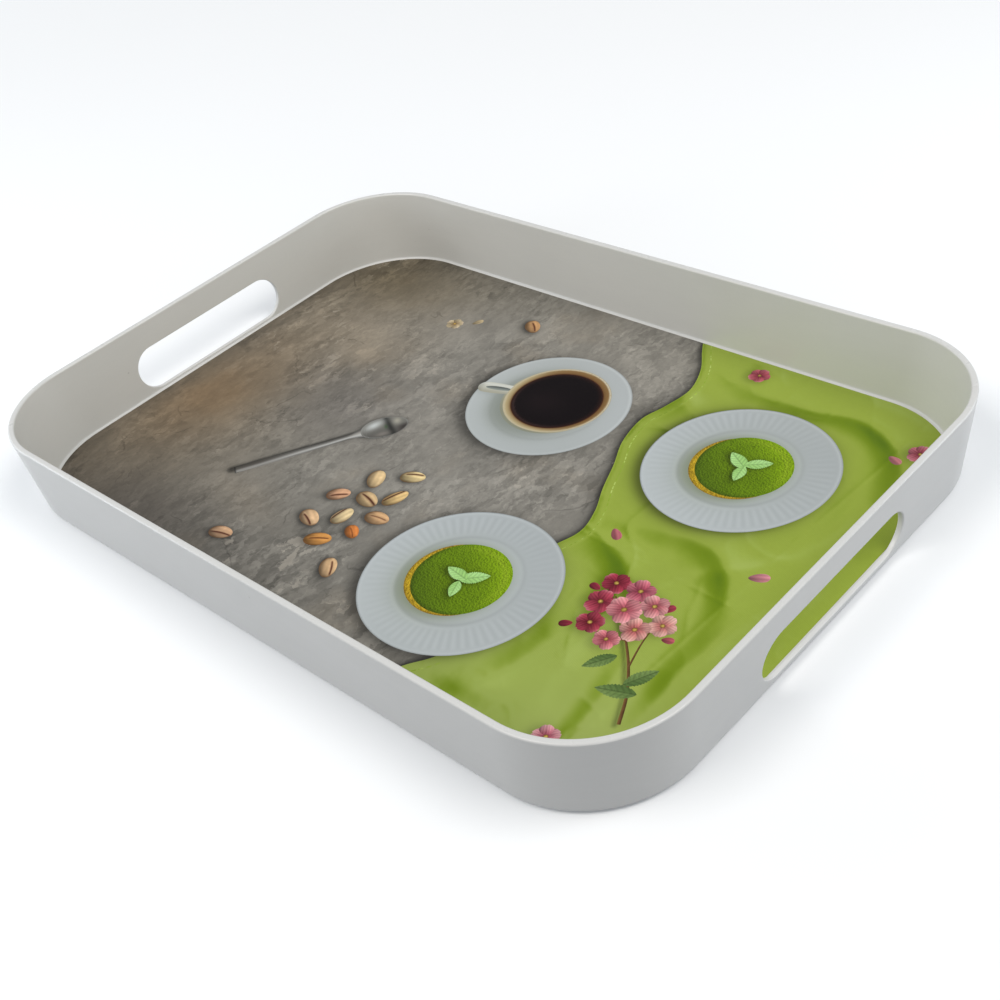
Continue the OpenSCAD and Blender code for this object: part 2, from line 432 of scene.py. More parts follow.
def col_plate(i, x, y):
    cx, cy, rx, ry = PLATES[i]
    u, v = (x - cx) / rx, (y - cy) / ry
    r = np.sqrt(u * u + v * v); a = np.arctan2(v, u)
    c = mix((180, 186, 187), (184, 190, 192), r)
    # the rim slopes: bright towards the light's far side, darker on the near side
    side = (-u * 0.62 - v * 0.70)
    rim = sstep(0.58, 0.66, r)
    c = c * (1 + 0.045 * side * rim - 0.03 * side * np.exp(-((r - 0.60) / 0.035) ** 2))[..., None]
    rib = np.cos(a * 64)
    where = sstep(0.64, 0.72, r) * sstep(0.955, 0.90, r)
    across = np.abs(np.cos(a - 0.84 + pi / 2))
    c = c + (rib * where * (0.25 + 0.75 * across) * 5.0)[..., None]
    c = c * (1 - 0.055 * np.exp(-((r - 0.615) / 0.022) ** 2))[..., None]
    c = c + (9 * np.exp(-((r - 0.655) / 0.02) ** 2) * np.clip(side + 0.3, 0, 1))[..., None]
    c = c + (13 * np.exp(-((r - 0.975) / 0.013) ** 2) * (0.65 + 0.35 * (u * 0.67 + v * 0.74)))[..., None]
    c = c * (1 - 0.17 * sstep(0.984, 1.0, r) * (1 - 0.5 * u))[..., None]
    bx, by = CAKES[i][0], CAKES[i][1]
    c = mix(c, (116, 126, 92), 0.68 * soft_shadow(x, y, bx, by, 25.2, 24.8, 0, -4.6, -4.2, 1.7))
    c = mix(c, (140, 148, 130), 0.32 * soft_shadow(x, y, bx, by, 26, 26, 0, -6.5, -6.0, 4.5))
    c = mix(c, (150, 162, 128), 0.35 * soft_shadow(x, y, bx, by, 25.2, 25.0, 0, 0.4, 0.2, 1.6))
    return c

def col_base(i, x, y):
    cx, cy, rx, ry = CAKES[i]
    dx, dy, bx, by = BASES[i]
    u, v = (x - cx - dx) / bx, (y - cy - dy) / by
    r = np.sqrt(u * u + v * v)
    c = mix((190, 158, 40), (150, 120, 36), sstep(0.93, 1.0, r))
    return c * (1 + 0.16 * fbm(x, y, 1.6, 2, 31 + i))[..., None]

def col_cake(i, x, y):
    cx, cy, rx, ry = CAKES[i]
    u, v = (x - cx) / rx, (y - cy) / ry
    r = np.sqrt(u * u + v * v)
    lit = (0.62 * u + 0.72 * v)
    c = mix((124, 160, 22), (158, 198, 26), sstep(0.05, 0.85, lit))
    c = mix(c, (98, 128, 24), sstep(-0.1, -0.9, lit) * 0.85)
    c = mix(c, (112, 142, 18), 0.45 * np.exp(-(r / 0.40) ** 2))
    c = mix(c, (176, 206, 52), 0.55 * np.exp(-((r - 0.86) / 0.07) ** 2) * np.clip(lit * 1.4, 0, 1))
    c = mix(c, (76, 98, 24), 0.65 * sstep(0.88, 1.0, r) * sstep(0.2, -0.5, lit))
    c = c * 0.84
    # shade of the garnish
    for gx, gy, gl, gw, ga in GARNISH[i]:
        c = c * (1 - 0.40 * soft_shadow(x, y, gx, gy, gl, gw, ga, -0.9, -0.9, 0.7))[..., None]
    return c

# small mint leaves on each cake: centre, half length, half width, direction
GARNISH = [[(121.0, 70.5, 7.6, 3.8, 150), (131.5, 72.8, 7.2, 3.6, 35), (127.2, 62.0, 6.2, 3.2, -80)],
           [(66.0, -66.0, 7.8, 3.9, 40), (56.6, -68.2, 7.2, 3.5, 172), (63.0, -77.0, 5.6, 2.9, -70)]]

def mint_outline(g, n=30):
    cx, cy, l, w, a = g
    t = np.linspace(0, 1, n)
    half = w * np.sin(pi * t ** 0.86) ** 0.82
    saw = 1 + 0.09 * np.where(np.arange(n) % 2 == 0, 1, -1) * (t > 0.12) * (t < 0.95)
    up = np.column_stack([(2 * t - 1) * l, half * saw])
    dn = np.column_stack([(2 * t - 1) * l, -half * saw])[::-1]
    p = np.vstack([up, dn[1:-1]])
    c, s = np.cos(np.radians(a)), np.sin(np.radians(a))
    return np.column_stack([cx + p[:, 0] * c - p[:, 1] * s, cy + p[:, 0] * s + p[:, 1] * c])

def col_mint(g, x, y, tones=((158, 206, 118), (180, 226, 146))):
    cx, cy, l, w, a = g
    u, v = local(x, y, cx, cy, a)
    un, vn = u / l, v / w
    c = mix(tones[0], tones[1], sstep(-0.8, 0.8, vn * 0.6 + un * 0.5))
    rib = np.abs(v)
    vein = np.abs(((u - 0.8 * rib) / (l * 0.30)) % 1.0 - 0.5)
    c = mix(c, np.array(tones[0]) * 0.80, 0.55 * sstep(0.40, 0.5, vein) * (rib > 0.3))
    c = c * (1 + 0.10 * np.cos(2 * pi * (u - 0.8 * rib) / (l * 0.30)))[..., None]
    c = mix(c, np.array(tones[0]) * 0.74, 0.8 * np.exp(-(v / 0.28) ** 2))
    c = mix(c, tones[1], 0.5 * np.exp(-((v - 0.62) / 0.4) ** 2))
    return np.clip(c, 0, 255)

def col_saucer(x, y):
    cx, cy, rx, ry = SAUCER
    u, v = (x - cx) / rx, (y - cy) / ry
    r = np.sqrt(u * u + v * v)
    c = mix((184, 189, 189), (178, 183, 183), sstep(0, -1, v))
    c = mix(c, (191, 196, 197), sstep(0.2, 0.9, 0.7 * u + 0.7 * v))
    side = (-u * 0.62 - v * 0.70)
    c = c * (1 + 0.04 * side * sstep(0.66, 0.74, r))[..., None]
    c = c * (1 - 0.05 * np.exp(-((r - 0.70) / 0.02) ** 2))[..., None]
    c = c + (12 * np.exp(-((r - 0.972) / 0.014) ** 2) * (0.7 + 0.3 * (u + v)))[..., None]
    c = c * (1 - 0.15 * sstep(0.983, 1.0, r))[..., None]
    c = mix(c, (124, 130, 118), 0.74 * soft_shadow(x, y, CUP[0], CUP[1], 27, 27, 0, -8.0, -9.0, 4.4) * sstep(1.0, 0.6, r))
    c = mix(c, (138, 144, 136), 0.52 * soft_shadow(x, y, CUP[0], CUP[1], 30, 29, 0, -3.0, -3.6, 2.6))
    c = mix(c, (144, 150, 146), 0.50 * soft_shadow(x, y, HCX, HCY, 10, 4, HANG, -2, -2.4, 1.6))
    return c

def col_cupbody(x, y):
    v = (y - CUP[1]) / 31.0 + 0.3 * (x - CUP[0]) / 31.0
    return mix((176, 172, 150), (142, 144, 126), sstep(-0.3, -1.0, v))

def col_cup(x, y):
    cx, cy, rx, ry = CUP
    u, v = (x - cx) / rx, (y - cy) / ry
    r = np.sqrt(u * u + v * v); lit = 0.62 * u + 0.72 * v
    # inside wall: shaded on the side towards the light, lit on the far side, over a thin pale lip
    c = mix((132, 104, 66), (196, 180, 138), sstep(0.55, -0.65, lit))
    c = mix(c, (160, 124, 76), 0.4 * sstep(-0.2, 0.4, lit))
    c = mix(c, (206, 196, 166), 0.85 * sstep(0.945, 0.965, r))
    c = mix(c, (226, 222, 204), 0.7 * np.exp(-((r - 0.978) / 0.010) ** 2) * sstep(-0.6, 0.7, lit))
    kx, ky = (x - COFFEE[0]) / COFFEE[2], (y - COFFEE[1]) / COFFEE[3]
    k = np.sqrt(kx * kx + ky * ky)
    c = mix(c, (100, 68, 38), 0.80 * np.exp(-np.maximum(k - 1, 0) * 26 / 1.3))
    return c * (1 - 0.12 * sstep(0.988, 1.0, r))[..., None]

def col_coffee(x, y):
    cx, cy, rx, ry = COFFEE
    u, v = (x - cx) / rx, (y - cy) / ry
    r = np.sqrt(u * u + v * v)
    c = mix((14, 5, 7), (44, 22, 16), sstep(0.84, 1.0, r))
    c = mix(c, (98, 58, 30), 0.65 * sstep(0.965, 1.0, r))
    c = mix(c, (34, 22, 24), 0.5 * np.exp(-((u + 0.25) / 0.5) ** 2 - ((v + 0.2) / 0.4) ** 2))
    return mix(c, (84, 70, 70), 0.5 * np.exp(-((r - 0.94) / 0.018) ** 2) * np.clip(-u * 0.6 - v * 0.8, 0, 1))

# the handle, a flat loop seen from above, on the cup's left
HCX, HCY, HANG = -33.5, 57.5, 196.0
def from_handle(p):
    c, s = np.cos(np.radians(HANG)), np.sin(np.radians(HANG))
    return np.column_stack([HCX + p[:, 0] * c - p[:, 1] * s, HCY + p[:, 0] * s + p[:, 1] * c])
HANDLE = from_handle(spline([(-11, 3.2), (-4, 4.6), (4, 5.0), (9, 4.2), (11.2, 1.2), (11.0, -2.0), (8.4, -4.4), (3, -4.8),
                             (-4, -4.4), (-11, -3.4), (-12, 0), (-11, 3.2)], 0.8)[:-1])
HOLE = from_handle(ellipse_pts(-1.5, 0.0, 8.2, 1.7, 0, 40))

def col_handle(x, y):
    u, v = local(x, y, HCX, HCY, HANG)
    c = mix((202, 202, 190), (172, 170, 154), sstep(-1.0, 4.6, v))
    c = mix(c, (222, 224, 218), np.exp(-((v + 2.9) / 1.1) ** 2) * 0.7)
    return c * (1 - 0.12 * sstep(7, 11, u))[..., None]

def col_hole(x, y):
    u, v = local(x, y, HCX, HCY, HANG)
    return mix((92, 98, 96), (150, 156, 150), sstep(-1.6, 1.6, v))

BOWL = ellipse_pts(-13.5, 10.6, 13.6, 9.4, 90, 72, -0.12)
NECK = np.array([(-19.4, 0.0), (-17.2, -4.4), (-15.2, -7.4), (-14.6, -10.5), (-13.9, -22), (-13.2, -40), (-12.4, -60), (-11.8, -74.6),
                 (-5.8, -74.4), (-6.6, -60), (-8.0, -40), (-9.4, -22), (-10.6, -10.5), (-10.6, -7.4), (-9.2, -4.4), (-7.6, 0.0)])

def col_bowl(x, y):
    x, y = to_spoon(x, y)
    u, v = (x + 13.5) / 9.4, (y - 10.6) / 13.6
    c = mix((120, 118, 112), (92, 90, 86), sstep(-0.4, 0.9, u))
    c = mix(c, (44, 44, 42), 0.85 * np.exp(-((v - 0.22 - 0.10 * u) / 0.14) ** 2))
    c = mix(c, (58, 52, 50), 0.8 * sstep(0.35, 0.8, v) * sstep(-0.1, 0.4, u))
    c = mix(c, (176, 172, 158), 0.85 * np.exp(-((u + 0.36) / 0.34) ** 2 - ((v - 0.56) / 0.17) ** 2))
    c = mix(c, (206, 210, 208), 0.95 * np.exp(-((u + 0.42 + 0.42 * (v + 0.45)) / 0.36) ** 2 - ((v + 0.40) / 0.40) ** 2))
    c = mix(c, (150, 142, 134), 0.6 * np.exp(-((u - 0.62) / 0.22) ** 2 - ((v + 0.15) / 0.30) ** 2))
    c = mix(c, (64, 92, 58), 0.6 * np.exp(-((u + 0.02) / 0.20) ** 2 - ((v - 0.06) / 0.07) ** 2))
    r = np.sqrt(u * u + v * v)
    return mix(c, (150, 150, 146), 0.75 * np.exp(-((r - 0.975) / 0.03) ** 2))

def col_neck(x, y):
    x, y = to_spoon(x, y)
    t = np.clip((-y) / 74.5, 0, 1)
    xl = np.interp(-y, [0, 4.4, 10.5, 22, 40, 60, 74.6], [-19.4, -17.2, -14.6, -13.9, -13.2, -12.4, -11.8])
    xr = np.interp(-y, [0, 4.4, 10.5, 22, 40, 60, 74.6], [-7.6, -9.2, -10.6, -9.4, -8.0, -6.6, -5.8])
    k = np.clip((x - xl) / (xr - xl), 0, 1)
    c = mix((96, 94, 90), (150, 147, 142), sstep(0.15, 0.45, k))
    c = mix(c, (208, 210, 208), 0.85 * np.exp(-((k - 0.62) / 0.12) ** 2) * (1 - 0.75 * t))
    c = mix(c, (84, 82, 80), sstep(0.75, 1.0, k) * (1 - 0.6 * t))
    c = mix(c, (168, 166, 160), 0.7 * np.exp(-((k - 0.93) / 0.06) ** 2) * t)
    c = mix(c, (70, 66, 60), 0.75 * sstep(0.45, 0.9, t) * sstep(0.80, 0.35, k))
    c = mix(c, (40, 38, 36), 0.85 * sstep(-73.2, -74.4, y))
    return mix(c, (176, 172, 164), 0.5 * sstep(-12, -2, y) * sstep(0.1, 0.4, k) * sstep(0.8, 0.5, k))

def nut_outline(n, k=1.0):
    return ellipse_pts(n[0], n[1], n[2], n[3], n[4], 44, -0.10, k)

def col_nut(j, x, y):
    n = NUTS[j]
    u, v = local(x, y, n[0], n[1], n[4])
    u, v = u / n[2], v / n[3]
    # light comes from the upper right of the picture
    ang = np.radians(n[4])
    lx, ly = 0.55 * np.cos(ang) + 0.83 * np.sin(ang), -0.55 * np.sin(ang) + 0.83 * np.cos(ang)
    r = np.sqrt(u * u + v * v)
    nz = np.sqrt(np.clip(1 - 0.92 * r * r, 0.02, 1))
    lit = (u * lx * 0.75 + v * ly * 0.75) + nz * 0.95
    base = np.array(n[5], float)
    c = base * (0.60 + 0.50 * np.clip(lit, 0, 1.15))[..., None]
    c = mix(c, (106, 74, 50), 0.55 * sstep(0.80, 1.0, r) * (lit < 0.75))
    c = c * (1 + 0.05 * np.sin(v * 9 + 3 * j + 1.5 * u) + 0.07 * fbm(x, y, 2.2, 2, 60 + j))[..., None]
    if n[7] > 0:
        slit = n[6] + 0.22 * np.cos(u * 1.3) - 0.2
        w = 0.075 + 0.09 * n[7] * np.clip(1 - (u - 0.15) ** 2, 0, 1)
        k = np.exp(-((v - slit) / w) ** 2) * sstep(1.0, 0.72, np.abs(u - 0.08) * (1.25 if n[7] < 0.8 else 1.0))
        c = mix(c, (66, 30, 22), 0.9 * k * min(1, 0.45 + n[7]))
        k2 = np.exp(-((v - slit - 0.17) / 0.07) ** 2) * sstep(1.0, 0.6, np.abs(u))
        c = mix(c, base * 1.12, 0.5 * k2)
    return np.clip(c, 0, 255)


# ---------------------------------------------------------------- a twig of small blossoms
STEM = spline([(181, -100), (174, -86), (164, -72), (153, -60), (142, -50), (131, -40)], 1.5)
TWIGS = [spline([(164, -72), (160, -58), (158, -46)], 1.5), spline([(153, -60), (142, -62), (133, -64)], 1.5)]
# centre x, y, radius, turn, colour near the tip, colour near the heart
BLOSSOMS = [
    (126.0, -33.0, 7.2, 10, (150, 52, 70), (118, 36, 50)), (139.0, -31.5, 7.6, 40, (188, 104, 118), (150, 66, 82)),
    (150.5, -36.0, 7.4, 66, (204, 140, 142), (168, 88, 96)), (127.5, -46.5, 7.8, 22, (166, 66, 84), (126, 42, 56)),
    (161.0, -44.0, 7.2, 5, (214, 164, 154), (184, 112, 108)), (152.0, -52.5, 7.6, 51, (206, 150, 142), (176, 96, 96)),
    (132.0, -59.5, 7.0, 33, (152, 58, 74), (112, 34, 46)), (145.0, -64.0, 6.4, 14, (196, 118, 124), (158, 74, 84)),
    (140.0, -45.0, 8.6, 0, (206, 132, 138), (172, 84, 96)),
    # loose ones on the cloth and on the stone
    (194.0, 118.0, 6.8, 25, (184, 104, 118), (146, 66, 80)), (160.0, -122.0, 6.6, 52, (204, 142, 150), (170, 88, 104)),
    (88.0, 137.0, 6.2, 8, (176, 88, 100), (140, 56, 70)), (-104.0, 96.0, 5.4, 30, (184, 168, 136), (150, 128, 96)),
]
LOOSE = [(179.0, 4.0, 5.0, 2.8, 30, (196, 128, 136)), (171.0, -132.0, 4.2, 2.6, 120, (200, 140, 146)),
         (104.0, -6.0, 4.4, 2.5, -40, (182, 104, 112)), (-92.0, 104.0, 3.6, 2.0, 60, (176, 158, 124)),
         (186.0, 108.0, 4.0, 2.4, -20, (190, 120, 126))]
BUDS = [(157.0, -34.0, 3.4, 2.2, 62, (150, 56, 72)), (119.0, -40.0, 3.2, 2.1, 170, (140, 48, 64)), (123.0, -66.0, 3.3, 2.1, 215, (132, 44, 58)),
        (168.5, -50.0, 3.0, 2.0, 20, (170, 84, 92))]
SPRAY = [(168.0, -86.0, 9.5, 3.9, 200), (172.5, -74.0, 8.6, 3.6, 62), (151.0, -76.0, 8.2, 3.4, 236)]

def petal_outline(b, q):
    # five notched petals to a blossom, each a little different
    x, y, r, turn = b[0], b[1], b[2], b[3]
    k = np.sin(12.9 * x + 7.7 * y + 3.1 * q)
    a = np.radians(turn + 72 * q + 7 * k)
    t = np.linspace(0, 1, 17)
    half = 0.47 * r * np.sin(pi * np.clip(t, 0, 1) ** 1.25) ** 0.72 + 0.06 * r * (1 - t)
    u = r * (0.06 + (0.98 + 0.05 * k) * t)
    up = np.column_stack([u, half]); dn = np.column_stack([u, -half])[::-1]
    notch = np.array([[r * (0.93 + 0.04 * k), 0.0]])
    p = np.vstack([up[:-1], [[r * 1.0, 0.10 * r]], notch, [[r * 1.0, -0.10 * r]], dn[1:]])
    c, s = np.cos(a), np.sin(a)
    return np.column_stack([x + p[:, 0] * c - p[:, 1] * s, y + p[:, 0] * s + p[:, 1] * c])

def col_petal(b, q, x, y):
    r = b[2]; k = np.sin(12.9 * b[0] + 7.7 * b[1] + 3.1 * q)
    a = np.radians(b[3] + 72 * q + 7 * k)
    dx, dy = x - b[0], y - b[1]
    u, v = (dx * np.cos(a) + dy * np.sin(a)) / r, (-dx * np.sin(a) + dy * np.cos(a)) / r
    c = mix(b[5], b[4], sstep(0.12, 0.75, u))
    c = mix(c, (226, 200, 190), 0.30 * sstep(0.70, 1.0, u) * (k > -0.3))
    c = c * (1 + 0.09 * np.cos(v * 34 + 2 * u + q))[..., None]
    c = mix(c, np.array(b[5]) * 0.72, 0.6 * np.exp(-(v / 0.035) ** 2) * sstep(0.95, 0.3, u))
    # petals curl: one half faces the light, the rim is thin
    side = v * (-np.sin(a) * 0.62 + np.cos(a) * 0.74)
    c = c * (1 + 0.55 * side + 0.05 * k)[..., None]
    c = mix(c, np.array(b[5]) * 0.55, 0.75 * sstep(0.22, 0.06, u))
    edge = 1 - 0.14 * sstep(0.33, 0.46, np.abs(v))
    return np.clip(c * edge[..., None], 0, 255)

def col_heart(b, x, y):
    d = np.sqrt((x - b[0]) ** 2 + (y - b[1]) ** 2) / (0.17 * b[2])
    c = mix((206, 176, 92), (120, 84, 40), sstep(0.2, 1.0, d))
    return c * (1 + 0.2 * fbm(x, y, 0.6, 1, 44))[..., None]

def col_bud(p, x, y):
    u, v = local(x, y, p[0], p[1], p[4])
    u, v = u / p[2], v / p[3]
    a = np.radians(p[4])
    lit = u * (0.62 * np.cos(a) + 0.74 * np.sin(a)) + v * (-0.62 * np.sin(a) + 0.74 * np.cos(a))
    c = np.array(p[5], float) * (0.92 + 0.26 * lit)[..., None]
    return np.clip(c * (1 + 0.08 * np.sin(v * 6 + u))[..., None], 0, 255)

def ribbon(line, w0, w1):
    d = np.gradient(line, axis=0); n = np.column_stack([-d[:, 1], d[:, 0]])
    n /= np.linalg.norm(n, axis=1)[:, None]
    w = np.linspace(w0, w1, len(line))[:, None] / 2
    return np.vstack([line + n * w, (line - n * w)[::-1]])

def col_stem(line, x, y):
    d, sg, t = along(x, y, line)
    c = mix((128, 94, 56), (84, 58, 36), 0.5 - 0.5 * sg * np.clip(d / 0.5, 0, 1))
    return c * (1 + 0.12 * fbm(x, y, 2.0, 2, 52))[..., None]

# ---------------------------------------------------------------- every shape, bottom to top
STONE, CLOTHK, CERAMIC, CAKEK, DETAIL = 0, 1, 2, 3, 4
SHAPES = []   # (kind, outline, colour function, inner spacing in mm)
def shape(kind, outline, fn, step):
    SHAPES.append((kind, np.asarray(outline, float), fn, step))
def E(t, n=180): return ellipse_pts(t[0], t[1], t[2], t[3], 0, n)
shape(CLOTHK, CLOTH, col_cloth, 1.25)

def stitches():
    # a row of short stitches 5 mm inside the hem
    e = CLOTH_EDGE
    seg = np.concatenate([[0], np.cumsum(np.linalg.norm(np.diff(e, axis=0), axis=1))])
    s = 3.0
    while s < seg[-1] - 3:
        p0 = np.array([np.interp(s, seg, e[:, 0]), np.interp(s, seg, e[:, 1])])
        p1 = np.array([np.interp(s + 2.1, seg, e[:, 0]), np.interp(s + 2.1, seg, e[:, 1])])
        d = (p1 - p0) / np.linalg.norm(p1 - p0); n = np.array([-d[1], d[0]])
        a, b = p0 + n * 5.0, p1 + n * 5.0
        hidden = any(((a[0] - c[0]) / c[2]) ** 2 + ((a[1] - c[1]) / c[3]) ** 2 < 1.1 for c in PLATES)
        if not hidden:
            shape(CLOTHK, [a - n * 0.28, b - n * 0.28, b + d * 0.2, b + n * 0.28, a + n * 0.28, a - d * 0.2], col_stitch, 3.0)
        s += 3.4
stitches()
shape(CERAMIC, E(SAUCER), col_saucer, 1.5)
shape(CERAMIC, E((CUP[0] - 0.8, CUP[1] - 1.4, 30.3, 29.8)), col_cupbody, 1.5)
shape(CERAMIC, HANDLE, col_handle, 0.8)
shape(CERAMIC, HOLE, col_hole, 0.7)
shape(CERAMIC, E(CUP), col_cup, 1.0)
shape(CERAMIC, E(COFFEE), col_coffee, 1.4)
for i in (0, 1):
    shape(CERAMIC, E(PLATES[i]), lambda x, y, i=i: col_plate(i, x, y), 1.05)
    shape(CAKEK, E((CAKES[i][0] + BASES[i][0], CAKES[i][1] + BASES[i][1], BASES[i][2], BASES[i][3]), 120),
          lambda x, y, i=i: col_base(i, x, y), 1.2)
    shape(CAKEK, E(CAKES[i], 120), lambda x, y, i=i: col_cake(i, x, y), 1.0)
    for g in GARNISH[i]:
        shape(DETAIL, mint_outline(g), lambda x, y, g=g: col_mint(g, x, y), 0.42)
shape(CERAMIC, from_spoon(NECK), col_neck, 0.7)
shape(CERAMIC, from_spoon(BOWL), col_bowl, 0.6)
for j in range(len(NUTS)):
    shape(DETAIL, nut_outline(NUTS[j]), lambda x, y, j=j: col_nut(j, x, y), 0.42)
shape(DETAIL, ribbon(STEM, 1.7, 0.9), lambda x, y: col_stem(STEM, x, y), 0.6)
for t in TWIGS:
    shape(DETAIL, ribbon(t, 1.0, 0.7), lambda x, y, t=t: col_stem(t, x, y), 0.6)
for g in SPRAY:
    shape(DETAIL, mint_outline(g, 26), lambda x, y, g=g: col_mint(g, x, y, ((84, 110, 58), (122, 146, 84))), 0.5)
for p in BUDS + LOOSE:
    shape(DETAIL, ellipse_pts(p[0], p[1], p[2], p[3], p[4], 26, 0.25), lambda x, y, p=p: col_bud(p, x, y), 0.5)
for b in BLOSSOMS:
    for q in (0, 2, 4, 1, 3):
        shape(DETAIL, petal_outline(b, q), lambda x, y, b=b, q=q: col_petal(b, q, x, y), 0.55)
    shape(DETAIL, ellipse_pts(b[0], b[1], 0.17 * b[2], 0.17 * b[2], 0, 18), lambda x, y, b=b: col_heart(b, x, y), 0.5)

def top_shape(x, y):
    # index of the uppermost shape at each point, -1 for bare stone
    top = np.full(np.shape(x), -1)
    for k, (kind, out, fn, step) in enumerate(SHAPES):
        lo, hi = out.min(0), out.max(0)
        m = (x >= lo[0]) & (x <= hi[0]) & (y >= lo[1]) & (y <= hi[1])
        if m.any():
            idx = np.where(m)[0]
            inside = in_poly(x[idx], y[idx], out)
            top[idx[inside]] = k
    return top

def paint(x, y, top):
    c = np.zeros(x.shape + (3,))
    for k in np.unique(top):
        m = top == k
        fn = col_stone if k < 0 else SHAPES[k][2]
        c[m] = fn(x[m], y[m])
    return np.clip(c, 0, 255)

# ================================================================ the moulded shell
HALF_L, HALF_W, HGT = BODY[1][0], BODY[1][1], BODY[1][2]
SEAT_X, SEAT_Y = FILM[1][0] + 0.1, FILM[1][1] + 0.1
FLOOR_Z, SEAT_Z = FILM[1][2], FILM[0][2]
LEAN_X, LEAN_Y = math.tan(math.radians(7.0)), math.tan(math.radians(3.6))
R_OUT, R_FILM = 55.7, 55.9
RIM_T, RIM_R, BASE_R, COVE_R, STRIP = 3.5, 1.0, 4.0, 1.3, 0.2
FOOT_H, FOOT_W = 1.0, 7.0
SLOT_L, SLOT_H, SLOT_Z = 108.5, 25.5, 5.6
Z_LO_OUT, Z_HI = BASE_R, HGT - RIM_R
Z_LO_IN = FLOOR_Z + COVE_R
CORNER_N = 30
YS = [-66, -56, -42, -28, -14, 0, 14, 28, 42, 56, 66]       # stations along an end wall
XS = [-150, -120, -90, -60, -30, 0, 30, 60, 90, 120, 150]   # stations along a long wall


def ring_xy(a, b, r):
    """Points of a rounded rectangle, counter-clockwise from the lower end of the +X side."""
    p = [(a, y) for y in YS]
    def arc(cx, cy, a0):
        return [(cx + r * math.cos(t), cy + r * math.sin(t))
                for t in (math.radians(a0 + 90 * i / CORNER_N) for i in range(CORNER_N + 1))]
    p += arc(a - r, b - r, 0)
    p += [(x, b) for x in XS[::-1]]
    p += arc(-(a - r), b - r, 90)
    p += [(-a, y) for y in YS[::-1]]
    p += arc(-(a - r), -(b - r), 180)
    p += [(x, -b) for x in XS]
    p += arc(a - r, -(b - r), 270)
    return p


